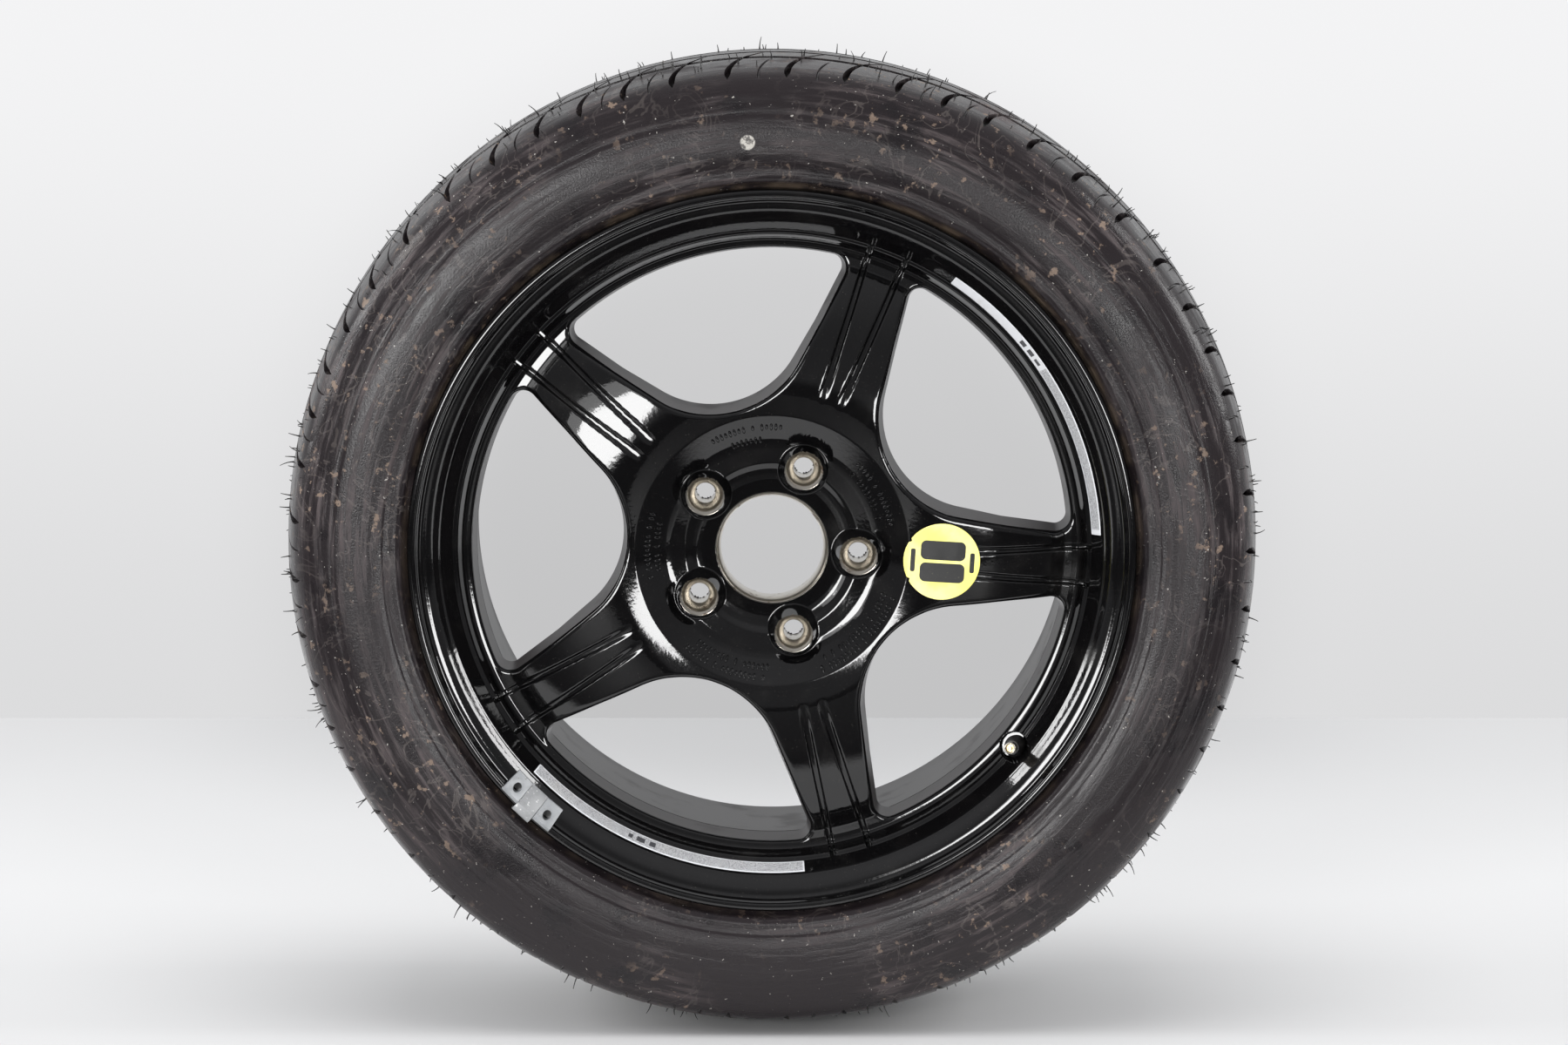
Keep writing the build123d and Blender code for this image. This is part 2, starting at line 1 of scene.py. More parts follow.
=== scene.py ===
import bmesh
import bpy
import numpy as np
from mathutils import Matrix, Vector


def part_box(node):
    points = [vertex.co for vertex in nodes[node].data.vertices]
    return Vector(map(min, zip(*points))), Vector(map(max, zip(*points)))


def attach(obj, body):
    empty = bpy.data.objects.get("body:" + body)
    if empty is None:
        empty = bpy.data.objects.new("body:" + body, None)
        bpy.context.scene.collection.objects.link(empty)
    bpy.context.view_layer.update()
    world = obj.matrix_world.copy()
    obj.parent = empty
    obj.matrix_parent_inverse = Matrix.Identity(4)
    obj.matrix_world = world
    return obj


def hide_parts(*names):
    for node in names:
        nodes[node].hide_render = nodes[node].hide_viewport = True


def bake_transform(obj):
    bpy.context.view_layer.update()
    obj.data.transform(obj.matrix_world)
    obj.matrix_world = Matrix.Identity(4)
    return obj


# Spare wheel. Lengths are millimetres and angles degrees until a point is placed in the scene.
# The spin axis is Y, heights h count from the hub's mounting face towards the outboard side (-Y),
# and angles run from +X towards +Z as the camera sees them.
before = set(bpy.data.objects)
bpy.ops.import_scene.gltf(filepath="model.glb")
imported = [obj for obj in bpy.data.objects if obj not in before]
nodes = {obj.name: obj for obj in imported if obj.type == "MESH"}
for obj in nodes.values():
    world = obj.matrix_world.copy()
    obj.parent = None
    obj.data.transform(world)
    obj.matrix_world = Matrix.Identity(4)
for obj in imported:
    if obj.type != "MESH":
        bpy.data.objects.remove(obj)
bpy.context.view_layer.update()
scene = bpy.context.scene
tyreLow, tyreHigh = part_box("tyre")
print("frame loaded")


def smoothStep(low, high, x):
    t = np.clip((x - low) / (high - low), 0, 1)
    return t * t * (3 - 2 * t)


def softMin(a, b, blend):
    t = np.clip(0.5 + 0.5 * (b - a) / blend, 0, 1)
    return b + (a - b) * t - blend * t * (1 - t)


def softMax(a, b, blend):
    return -softMin(-a, -b, blend)


# Corner cutting: each pass swaps a corner for points at a quarter and three quarters of its sides
def roundCorners(points, passes):
    p = np.array(points, float)
    for _ in range(passes):
        a, b = p[:-1], p[1:]
        cut = np.empty((2 * len(a), p.shape[1]))
        cut[0::2] = 0.75 * a + 0.25 * b
        cut[1::2] = 0.25 * a + 0.75 * b
        p = np.vstack([p[:1], cut, p[-1:]])
    return p


# A height that depends on the radius: straight runs between knots, softened by a running mean
def softProfile(knots, width):
    step = 0.05
    knots = np.array(knots)
    r = np.arange(knots[0, 0] - width, knots[-1, 0] + width, step)
    h = np.interp(r, knots[:, 0], knots[:, 1])
    window = np.hanning(int(width / step) + 2)
    pad = len(window) // 2
    soft = np.convolve(np.pad(h, pad, mode="edge"), window / window.sum(), mode="same")[pad:-pad]
    return lambda x: np.interp(x, r, soft)


def place(r, angle, h):
    r, turn, h = np.broadcast_arrays(r, np.radians(angle), h)
    return np.stack([r * np.cos(turn), -h, r * np.sin(turn)], -1) * 0.001


def gridQuads(rows, columns, closed=False, flip=False):
    i = np.arange(rows - 1)[:, None] * columns
    j = np.arange(columns if closed else columns - 1)[None]
    k = (j + 1) % columns
    quads = np.stack([i + j, i + columns + j, i + columns + k, i + k], -1).reshape(-1, 4)
    return quads[:, ::-1] if flip else quads


def addObject(name, data):
    thing = bpy.data.objects.new(name, data)
    scene.collection.objects.link(thing)
    return thing


# One mesh out of several point grids, each given as (points, quads)
def makePiece(name, grids, material, body="wheel", uv=None, sharp=None):
    points = np.vstack([p.reshape(-1, 3) for p, _ in grids])
    starts = np.cumsum([0] + [p.reshape(-1, 3).shape[0] for p, _ in grids])
    quads = np.vstack([q + s for (_, q), s in zip(grids, starts)])
    used, quads = np.unique(quads, return_inverse=True)  # points that no face uses are dropped
    points, quads = points[used], quads.reshape(-1, 4)
    mesh = bpy.data.meshes.new(name)
    mesh.vertices.add(len(points))
    mesh.vertices.foreach_set("co", points.astype(np.float32).ravel())
    mesh.loops.add(quads.size)
    mesh.loops.foreach_set("vertex_index", quads.astype(np.int32).ravel())
    mesh.polygons.add(len(quads))
    mesh.polygons.foreach_set("loop_start", np.arange(0, quads.size, 4, dtype=np.int32))
    mesh.polygons.foreach_set("use_smooth", np.ones(len(quads), bool))
    if uv is not None:
        layer = mesh.uv_layers.new(name="UVMap")
        layer.data.foreach_set("uv", uv.reshape(-1, 2)[used][quads.ravel()].astype(np.float32).ravel())
    mesh.update()
    mesh.validate()
    if sharp:
        mesh.set_sharp_from_angle(angle=np.radians(sharp))
    piece = addObject(name, mesh)
    mesh.materials.append(material)
    if body:
        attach(piece, body)
    return piece


# Node helpers: an input that is a socket is linked, any other value is set
def addNode(tree, kind, inputs=None, **settings):
    node = tree.nodes.new("ShaderNode" + kind)
    for key, value in settings.items():
        setattr(node, key, value)
    for key, value in (inputs or {}).items():
        if isinstance(value, bpy.types.NodeSocket):
            tree.links.new(value, node.inputs[key])
        else:
            node.inputs[key].default_value = value
    return node


def parts(tree, vector):
    return addNode(tree, "SeparateXYZ", {0: vector}).outputs


def math(tree, operation, a, b=0.0):
    return addNode(tree, "Math", {0: a, 1: b}, operation=operation).outputs[0]


def times(tree, a, b):
    return math(tree, "MULTIPLY", a, b)


def ramp(tree, value, low, high, start=0.0, end=1.0):
    inputs = {"Value": value, "From Min": low, "From Max": high, "To Min": start, "To Max": end}
    return addNode(tree, "MapRange", inputs, interpolation_type="SMOOTHSTEP").outputs[0]


def noise(tree, vector, scale, detail=3.0, roughness=0.55):
    inputs = {"Vector": vector, "Scale": scale, "Detail": detail, "Roughness": roughness}
    return addNode(tree, "TexNoise", inputs).outputs[0]


def mixColour(tree, factor, a, b):
    a, b = (c if isinstance(c, bpy.types.NodeSocket) else (*c, 1) for c in (a, b))
    return addNode(tree, "Mix", {0: factor, 6: a, 7: b}, data_type="RGBA").outputs[2]


# A share of another tone where the mask is 1
def tint(tree, colour, mask, share, tone):
    return mixColour(tree, times(tree, mask, share), colour, tone)


def newMaterial(name, colour, roughness, **sockets):
    material = bpy.data.materials.new(name)
    material.use_nodes = True
    tree = material.node_tree
    shader = tree.nodes["Principled BSDF"]
    shader.inputs["Base Color"].default_value = (*colour, 1)
    shader.inputs["Roughness"].default_value = roughness
    for key, value in sockets.items():
        shader.inputs[key.replace("_", " ")].default_value = value
    return material, tree, shader, addNode(tree, "TexCoord").outputs["Object"]


def setLooks(tree, shader, colour, rough):
    tree.links.new(colour, shader.inputs["Base Color"])
    tree.links.new(rough, shader.inputs["Roughness"])


def bump(tree, shader, height, strength, distance):
    inputs = {"Height": height, "Strength": strength, "Distance": distance}
    tree.links.new(addNode(tree, "Bump", inputs).outputs[0], shader.inputs["Normal"])


# Gloss black paint: faint orange peel, dust that dulls it in patches, a few pale specks
def paintMaterial(name, base, sheen, roughness):
    material, tree, shader, point = newMaterial(name, base, roughness, Specular_IOR_Level=sheen)
    dust = ramp(tree, noise(tree, point, 34.0, 5.0), 0.5, 0.78)
    specks = ramp(tree, noise(tree, point, 1400.0, 1.0), 0.74, 0.8)
    colour = tint(tree, base, dust, 0.012, (0.3, 0.28, 0.25))
    colour = tint(tree, colour, specks, 0.25, (0.3, 0.28, 0.25))
    setLooks(tree, shader, colour, ramp(tree, dust, 0, 1, roughness, roughness + 0.1))
    bump(tree, shader, noise(tree, point, 420.0, 1.0), 0.05, 0.0004)
    return material


# Bare machined metal: its turned marks are too fine to see, so it is satin with stains
def bareMetalMaterial():
    bright = (0.46, 0.43, 0.38)
    material, tree, shader, point = newMaterial("bare_metal", bright, 0.3, Metallic=1.0)
    stain = ramp(tree, noise(tree, point, 130.0, 6.0, 0.7), 0.56, 0.7)
    setLooks(tree, shader, mixColour(tree, stain, bright, (0.14, 0.09, 0.055)), ramp(tree, stain, 0, 1, 0.28, 0.6))
    return material


# Radius about the spin axis, and the object point drawn out along the circumference
def roundPoint(tree, point, around, across):
    part = parts(tree, point)
    x, z = part[0], part[2]
    radius = math(tree, "SQRT", math(tree, "ADD", times(tree, x, x), times(tree, z, z)))
    drawn = {0: times(tree, x, around), 1: times(tree, radius, across), 2: times(tree, z, around)}
    return radius, addNode(tree, "CombineXYZ", drawn).outputs[0], part


# 1 within the distance low of a spot, 0 beyond high
def nearTo(tree, point, x, y, z, low, high):
    away = addNode(tree, "VectorMath", {0: point, 1: (x, y, z)}, operation="DISTANCE").outputs["Value"]
    return ramp(tree, away, low, high, 1.0, 0.0)


# Tyre rubber: charcoal, wiped along the circumference, with dust by the bead, brown dabs, pale specks
# and one round spot of white paint
def tyreMaterial():
    material, tree, shader, point = newMaterial("tyre_rubber", (0.03, 0.028, 0.03), 0.5, Specular_IOR_Level=0.24)
    radius, drawn, part = roundPoint(tree, point, 20.0, 240.0)
    smear = ramp(tree, noise(tree, drawn, 1.0, 6.0, 0.6), 0.46, 0.72)
    patch = ramp(tree, noise(tree, point, 9.0, 4.0), 0.4, 0.62)
    wet = ramp(tree, noise(tree, point, 23.0, 5.0, 0.6), 0.55, 0.66)
    dabs = times(tree, ramp(tree, noise(tree, point, 120.0, 4.0, 0.62), 0.61, 0.67), patch)
    specks = ramp(tree, noise(tree, point, 420.0, 2.0), 0.715, 0.745)
    bead = times(tree, ramp(tree, radius, 0.2375, 0.2405, 1.0, 0.0), ramp(tree, part[2], -0.1, 0.2, 0.25, 1.0))
    bead = times(tree, bead, ramp(tree, noise(tree, point, 40.0, 4.0), 0.4, 0.62))
    swirl = addNode(tree, "TexNoise", {"Vector": point, "Scale": 26.0, "Detail": 3.0, "Distortion": 1.6})
    edge = math(tree, "ABSOLUTE", math(tree, "SUBTRACT", swirl.outputs[0], 0.5))
    tide = times(tree, ramp(tree, edge, 0.004, 0.016, 1.0, 0.0), patch)
    colour = mixColour(tree, times(tree, smear, patch), (0.0125, 0.0098, 0.0109), (0.066, 0.053, 0.054))
    colour = tint(tree, colour, tide, 0.4, (0.1, 0.086, 0.08))
    colour = tint(tree, colour, wet, 0.7, (0.008, 0.007, 0.008))
    colour = tint(tree, colour, dabs, 0.7, (0.2, 0.145, 0.11))
    colour = tint(tree, colour, specks, 0.6, (0.42, 0.4, 0.37))
    colour = tint(tree, colour, bead, 0.55, (0.14, 0.105, 0.075))
    worn = ramp(tree, noise(tree, point, 260.0, 4.0, 0.6), 0.4, 0.52, 0.15, 0.85)
    spot = times(tree, nearTo(tree, point, -0.0154, -0.0577, 0.2652, 0.0042, 0.0052), worn)
    colour = mixColour(tree, spot, colour, (0.46, 0.44, 0.4))
    rough = math(tree, "ADD", ramp(tree, smear, 0, 1, 0.29, 0.56), times(tree, dabs, 0.2))
    setLooks(tree, shader, colour, math(tree, "SUBTRACT", rough, times(tree, wet, 0.08)))
    fine = noise(tree, point, 800.0, 3.0)
    bump(tree, shader, math(tree, "ADD", times(tree, smear, 1.2), fine), 0.3, 0.0005)
    return material


# Plain black moulded rubber with a little dust
def rubberMaterial(name):
    black = (0.014, 0.013, 0.013)
    material, tree, shader, point = newMaterial(name, black, 0.5)
    dust = ramp(tree, noise(tree, point, 300.0, 4.0), 0.5, 0.75)
    colour = tint(tree, black, dust, 0.4, (0.11, 0.1, 0.09))
    setLooks(tree, shader, colour, ramp(tree, dust, 0, 1, 0.42, 0.65))
    bump(tree, shader, noise(tree, point, 1500.0, 2.0), 0.2, 0.0002)
    return material


# Metal with fine scratches and darker tarnish
def metalMaterial(name, bright, tarnish, roughness, size):
    material, tree, shader, point = newMaterial(name, bright, roughness, Metallic=1.0)
    dull = ramp(tree, noise(tree, point, size, 5.0, 0.65), 0.48, 0.72)
    rough = ramp(tree, dull, 0, 1, roughness, roughness + 0.25)
    setLooks(tree, shader, mixColour(tree, dull, bright, tarnish), rough)
    bump(tree, shader, noise(tree, point, size * 9, 2.0), 0.15, 0.0001)
    return material


# Grey sprayed coat, chipped to other metal in spots, with painted shade that makes it black inside the holes, which
# are given as (x, z)
def coatMaterial(name, coat, chip, chipStart, holes=()):
    material, tree, shader, point = newMaterial(name, coat, 0.42)
    grain = noise(tree, point, 900.0, 3.0)
    soil = ramp(tree, noise(tree, point, 160.0, 4.0), 0.45, 0.75)
    chips = ramp(tree, noise(tree, point, 420.0, 4.0, 0.6), chipStart, chipStart + 0.05)
    colour = tint(tree, coat, soil, 0.35, tuple(0.45 * c for c in coat))
    colour = mixColour(tree, chips, colour, chip)
    flat = addNode(tree, "VectorMath", {0: point, 1: (1, 0, 1)}, operation="MULTIPLY").outputs[0]
    # Painted shade: the inside of each hole is coloured near black
    for x, z in holes:
        colour = mixColour(tree, nearTo(tree, flat, x, 0, z, 0.0025, 0.0028), colour, (0.004, 0.004, 0.004))
    setLooks(tree, shader, colour, ramp(tree, soil, 0, 1, 0.34, 0.55))
    bump(tree, shader, grain, 0.25, 0.0002)
    return material


# Printed strip: white margins, a speckled grey middle, and plain boxes where print would be.
# UV runs in millimetres along the strip and from 0 to 1 across it.
def stripMaterial(name, greyFrom, greyTo, boxes):
    material, tree, shader, point = newMaterial(name, (0.7, 0.71, 0.72), 0.38)
    part = parts(tree, addNode(tree, "UVMap", uv_map="UVMap").outputs[0])
    speckle = ramp(tree, noise(tree, point, 1700.0, 2.0), 0.42, 0.58)
    band = times(tree, ramp(tree, part[1], 0.08, 0.11), ramp(tree, part[1], 0.89, 0.92, 1.0, 0.0))
    run = ramp(tree, part[0], greyFrom, greyFrom + 1.0)
    run = times(tree, run, ramp(tree, part[0], greyTo - 1.0, greyTo, 1.0, 0.0))
    grey = times(tree, times(tree, band, run), ramp(tree, speckle, 0, 1, 0.35, 1.0))
    soil = ramp(tree, noise(tree, point, 60.0, 4.0), 0.5, 0.75)
    colour = mixColour(tree, grey, (0.6, 0.61, 0.63), (0.2, 0.2, 0.205))
    colour = tint(tree, colour, soil, 0.3, (0.36, 0.34, 0.31))
    for start, length, low, high, filled in boxes:
        x = math(tree, "ABSOLUTE", math(tree, "SUBTRACT", part[0], start + length / 2))
        y = math(tree, "ABSOLUTE", math(tree, "SUBTRACT", part[1], (low + high) / 2))
        away = math(tree, "MAXIMUM", math(tree, "SUBTRACT", x, length / 2),
                    times(tree, math(tree, "SUBTRACT", y, (high - low) / 2), 10.0))
        ink = ramp(tree, away, -0.05, 0.05, 1.0, 0.0)
        if not filled:
            ink = math(tree, "SUBTRACT", ink, times(tree, ink, ramp(tree, away, -0.5, -0.35)))
        colour = mixColour(tree, ink, colour, (0.05, 0.05, 0.055))
    setLooks(tree, shader, colour, ramp(tree, soil, 0, 1, 0.32, 0.5))
    return material


# Sun-faded sticker vinyl and its black print
def vinylMaterial(name, fresh, faded, roughness):
    material, tree, shader, point = newMaterial(name, fresh, roughness)
    fade = ramp(tree, noise(tree, point, 45.0, 4.0), 0.4, 0.7)
    dirt = ramp(tree, noise(tree, point, 700.0, 3.0), 0.64, 0.72)
    colour = mixColour(tree, fade, fresh, faded)
    colour = tint(tree, colour, dirt, 0.25, (0.25, 0.21, 0.12))
    setLooks(tree, shader, colour, ramp(tree, fade, 0, 1, roughness, roughness + 0.12))
    return material


paint = paintMaterial("gloss_black", (0.002, 0.0019, 0.0021), 0.5, 0.055)
satin = paintMaterial("satin_black", (0.042, 0.037, 0.038), 0.25, 0.4)
bareMetal = bareMetalMaterial()
tyreRubber = tyreMaterial()
valveRubber = rubberMaterial("valve_rubber")
nickel = metalMaterial("nickel", (0.5, 0.47, 0.41), (0.26, 0.22, 0.16), 0.36, 350.0)
brass = metalMaterial("brass", (0.5, 0.39, 0.22), (0.26, 0.18, 0.08), 0.36, 500.0)
springSteel = metalMaterial("spring_steel", (0.5, 0.5, 0.51), (0.2, 0.18, 0.16), 0.28, 600.0)
weight = dict(angle=226.25, holeTurn=3.35, holeRadius=0.2253, lobeRound=0.7, clipRound=0.25)
holeTurns = np.radians([weight["angle"] - weight["holeTurn"], weight["angle"] + weight["holeTurn"]])
holeSpots = [(weight["holeRadius"] * np.cos(t), weight["holeRadius"] * np.sin(t)) for t in holeTurns]
weightCoat = coatMaterial("weight_coat", (0.27, 0.28, 0.29), (0.12, 0.11, 0.1), 0.66, holeSpots)
clipCoat = coatMaterial("clip_coat", (0.24, 0.245, 0.25), (0.5, 0.5, 0.5), 0.6)
sealRubber = rubberMaterial("seal_rubber")
stickerVinyl = vinylMaterial("sticker_vinyl", (0.83, 0.76, 0.16), (0.87, 0.82, 0.3), 0.3)
stickerPrint = vinylMaterial("sticker_print", (0.003, 0.003, 0.003), (0.007, 0.007, 0.007), 0.5)
print("materials ready")

# Rim, with the CAD part's own sizes
rim = dict(
    spokeAngle=-3.5, spokeCount=5, boreMouth=36.1, boreRadius=33.3, boltRadius=56.0, bossRadius=15.6,
    bossHeight=30.0, recessRadius=20.5, seatRing=13.4, seatMouth=11.5, ballRadius=12.0, boltHole=6.6,
    windowApex=98.5, windowHubRound=60.0, windowSpread=44.3, windowRim=192.4, windowCorner=6.5,
    windowDraft=5.0, windowBack=-12.0, edgeRound=3.2, backRound=1.6, spokeEnd=190.0, spokeEndHeight=19.5,
    grooveAngle=3.4, grooveDepth=2.4, valveAngle=320.25, valveTilt=12.0, valveSeat=207.6,
    valveSeatHeight=14.0, pocketRadius=9.4, hollowStart=108.0, hollowLength=64.0, hollowHalf=13.0, hollowTaper=4.0,
    hollowFloor=24.0, reliefRadius=10.0, reliefDepth=8.0, padEdge=34.8, crownStart=88.5, crownHeight=41.0,
    crownSlopes=((88.5, 0.17), (100, 0.11), (107, 0.0), (120, -0.085), (150, -0.27), (190, -0.605)),
)
sectorStep = 360 / rim["spokeCount"]
half = sectorStep / 2
spokeAngles = rim["spokeAngle"] + sectorStep * np.arange(rim["spokeCount"])
crownRadii = np.linspace(rim["crownStart"], rim["spokeEnd"], 80)
crownRise = np.interp(crownRadii, *np.array(rim["crownSlopes"]).T) * (crownRadii[1] - crownRadii[0])
spokeCurve = np.stack([crownRadii, rim["crownHeight"] + np.cumsum(crownRise) - crownRise[0]], -1)
frontLine = softProfile([(36.1, 25.0), (45.0, 25.0), (48.5, 25.35), (52.0, 26.5), (55.0, 28.3), (56.2, 28.9),
                         (63.0, 29.6), (66.0, 29.9), (69.0, 30.7), (72.0, 31.9), *spokeCurve, (200.0, 17.5)], 1.6)
backLine = softProfile([(rim["padEdge"], 0.0), (75.0, 0.0), (80.0, 5.0), (150.0, 8.0), (190.0, -6.0),
                        (200.0, -6.0)], 3.0)


# Half of a window's edge at the back plane, from the hub side to the rim side: an arc round the hub, a
# straight side, a corner arc and the rim arc, as complex points with outward normals. The spoke lies
# along angle 0 and the window's middle at half a sector.
def windowEdge(hubPoints=44, sidePoints=56, cornerPoints=26, rimPoints=60):
    spread = np.radians(rim["windowSpread"])
    normal = complex(-np.sin(spread), np.cos(spread))
    along = complex(np.cos(spread), np.sin(spread))
    hubCentre = rim["windowApex"] + rim["windowHubRound"]
    fan = np.exp(1j * np.linspace(np.pi, np.pi - (np.pi / 2 - spread), hubPoints, endpoint=False))
    tangent = hubCentre + rim["windowHubRound"] * normal
    start = tangent - rim["windowCorner"] * normal
    reach = rim["windowRim"] - rim["windowCorner"]
    middle = (start * along.conjugate()).real
    run = -middle + np.sqrt(reach ** 2 - abs(start) ** 2 + middle ** 2)
    cornerCentre = start + run * along
    side = tangent + np.linspace(0, run, sidePoints, endpoint=False) * along
    fromTurn, toTurn = np.angle(normal), np.angle(cornerCentre)
    corner = np.exp(1j * np.linspace(fromTurn, toTurn, cornerPoints))
    rimFan = np.exp(1j * np.linspace(toTurn, 0, rimPoints + 1)[1:])
    points = np.concatenate([hubCentre + rim["windowHubRound"] * fan, side,
                             cornerCentre + rim["windowCorner"] * corner, rim["windowRim"] * rimFan])
    normals = np.concatenate([fan, np.full(sidePoints, normal), corner, rimFan])
    turn = np.exp(1j * np.radians(half))
    return points.conjugate() * turn, normals.conjugate() * turn, hubPoints + sidePoints + cornerPoints


# The window opens towards the front by its draft
def edgeAt(line):
    points, normals, _ = windowEdge()
    moved = points
    for _ in range(3):
        gain = (line(abs(moved)) - rim["windowBack"]) * np.tan(np.radians(rim["windowDraft"]))
        moved = points + normals * gain
    return moved


spokeRows = windowEdge()[2]
frontEdge = edgeAt(frontLine)
backEdge = edgeAt(backLine)


# Smallest distance from each grid point to the densely sampled edge, worked out in blocks of points
def edgeDistance(r, phi, edge):
    dense = np.interp(np.linspace(0, len(edge) - 1, 6 * len(edge)), np.arange(len(edge)), edge)
    at = (r * np.exp(1j * np.radians(abs(phi)))).ravel()
    near = [abs(dense - block[:, None]).min(1) for block in np.array_split(at, 50)]
    return np.concatenate(near).reshape(r.shape)


# Quarter-round drop next to an edge
def edgeDrop(distance, radius):
    inside = np.clip(radius - distance, 0, radius)
    return radius - np.sqrt(radius ** 2 - inside ** 2)


# Two grooves per spoke, level under the riser so that they notch its edge
def cutGrooves(r, phi, h):
    level = np.where(r < rim["spokeEnd"], h, np.minimum(h, rim["spokeEndHeight"] - 0.1 * (r - rim["spokeEnd"])))
    floor = level - rim["grooveDepth"]
    across = abs(r * np.radians(abs(phi) - rim["grooveAngle"])) / np.interp(r, [112, 203], [3.0, 1.9])
    share = (1 - smoothStep(0.45, 1.1, across)) * smoothStep(100, 128, r) * (1 - smoothStep(205.6, 207.4, r))
    return h + share * (floor - h)


# Distance from the bolt's axis, by the cosine rule
def boltDistance(r, phi):
    return np.sqrt(r ** 2 + rim["boltRadius"] ** 2 - 2 * r * rim["boltRadius"] * np.cos(np.radians(phi)))


# A round boss at each bolt, in a recess that blends into the bowl
def cutBolts(r, phi, h):
    bolt = boltDistance(r, phi)
    share = 1 - smoothStep(rim["bossRadius"] - 0.8, rim["recessRadius"], bolt)
    h = h + np.minimum(rim["bossHeight"] - h, 0) * share
    return softMax(h, rim["bossHeight"] - 3.5 * (bolt - rim["bossRadius"]) - 0.3, 0.8), bolt


def frontHeight(r, phi):
    h = cutGrooves(r, phi, frontLine(r))
    return h - edgeDrop(edgeDistance(r, phi, frontEdge), rim["edgeRound"])


# Hollows behind the spokes and reliefs in the pad between the bolts
def backHeight(r, phi):
    h = backLine(r)
    x, z = r * np.cos(np.radians(phi)), r * np.sin(np.radians(phi))
    start, length = rim["hollowStart"], rim["hollowLength"]
    t = np.clip((x - start) / length, 0, 1)
    hollow = np.hypot(x - start - length * t, z) - (rim["hollowHalf"] - rim["hollowTaper"] * t)
    h = h + smoothStep(0.4, -1.6, hollow) * (rim["hollowFloor"] - h)
    relief = boltDistance(r, abs(phi) - half) - rim["reliefRadius"]
    h = h + rim["reliefDepth"] * smoothStep(0.2, -0.8, relief)
    return h + edgeDrop(edgeDistance(r, phi, backEdge), rim["backRound"])


# A spoke's rows lie at the radii of the window edge's points, and its columns gather at both edges
def spokeGrid(edge, heightOf, columns=30):
    r = abs(edge[:spokeRows])[:, None]
    phiEdge = np.degrees(np.angle(edge[:spokeRows]))[:, None]
    near = np.array([0, 0.12, 0.35, 0.7, 1.15, 1.7, 2.4, 3.3, 4.6])[None]
    nearPhi = phiEdge - np.minimum(np.degrees(near / r), phiEdge * near / 9.2)
    inner = nearPhi[:, -1:] * np.linspace(1, 0, columns + 1)[None, 1:]
    right = np.concatenate([nearPhi, inner], 1)
    phi = np.concatenate([-right, right[:, -2::-1]], 1)
    r = np.broadcast_to(r, phi.shape)
    return r, phi, heightOf(r, phi)


def hubGrid(rows, heightOf, columns=109):
    phi = np.linspace(-half, half, columns)[None]
    r, phi = np.broadcast_arrays(rows[:, None], phi)
    return r, phi, heightOf(r, phi)


def sectors(r, phi, h, keep=None, flip=False):
    quads = gridQuads(*r.shape, flip=flip)
    if keep is not None:
        quads = quads[keep.ravel()[quads].any(1)]
    return [(place(r, angle + phi, h), quads) for angle in spokeAngles]


frontHub = hubGrid(np.linspace(rim["boreMouth"], abs(frontEdge[0]), 92), frontHeight)
hubHeight, frontBolt = cutBolts(*frontHub)
backHub = hubGrid(np.linspace(rim["padEdge"], abs(backEdge[0]), 60), backHeight, 97)
backBolt = boltDistance(*backHub[:2])
hubFace = sectors(*frontHub[:2], hubHeight, frontBolt > rim["seatRing"] - 0.5)
spokeFaces = sectors(*spokeGrid(frontEdge, frontHeight))
hubBack = sectors(*backHub, backBolt > rim["boltHole"] + 0.2, flip=True)
spokeBacks = sectors(*spokeGrid(backEdge, backHeight, 16), flip=True)
print("hub and spokes shaped")


# Window walls run straight from the front edge's round to the back edge's
def windowWalls():
    rows = np.linspace(0, 1, 7)[:, None]
    top = frontLine(abs(frontEdge)) - rim["edgeRound"]
    low = backLine(abs(backEdge)) + rim["backRound"]
    points = frontEdge + (backEdge - frontEdge) * rows
    h = top + (low - top) * rows
    phi = np.degrees(np.angle(points))
    return [(place(abs(points), angle + sign * phi, h), gridQuads(*h.shape, flip=sign < 0))
            for angle in spokeAngles for sign in (1, -1)]


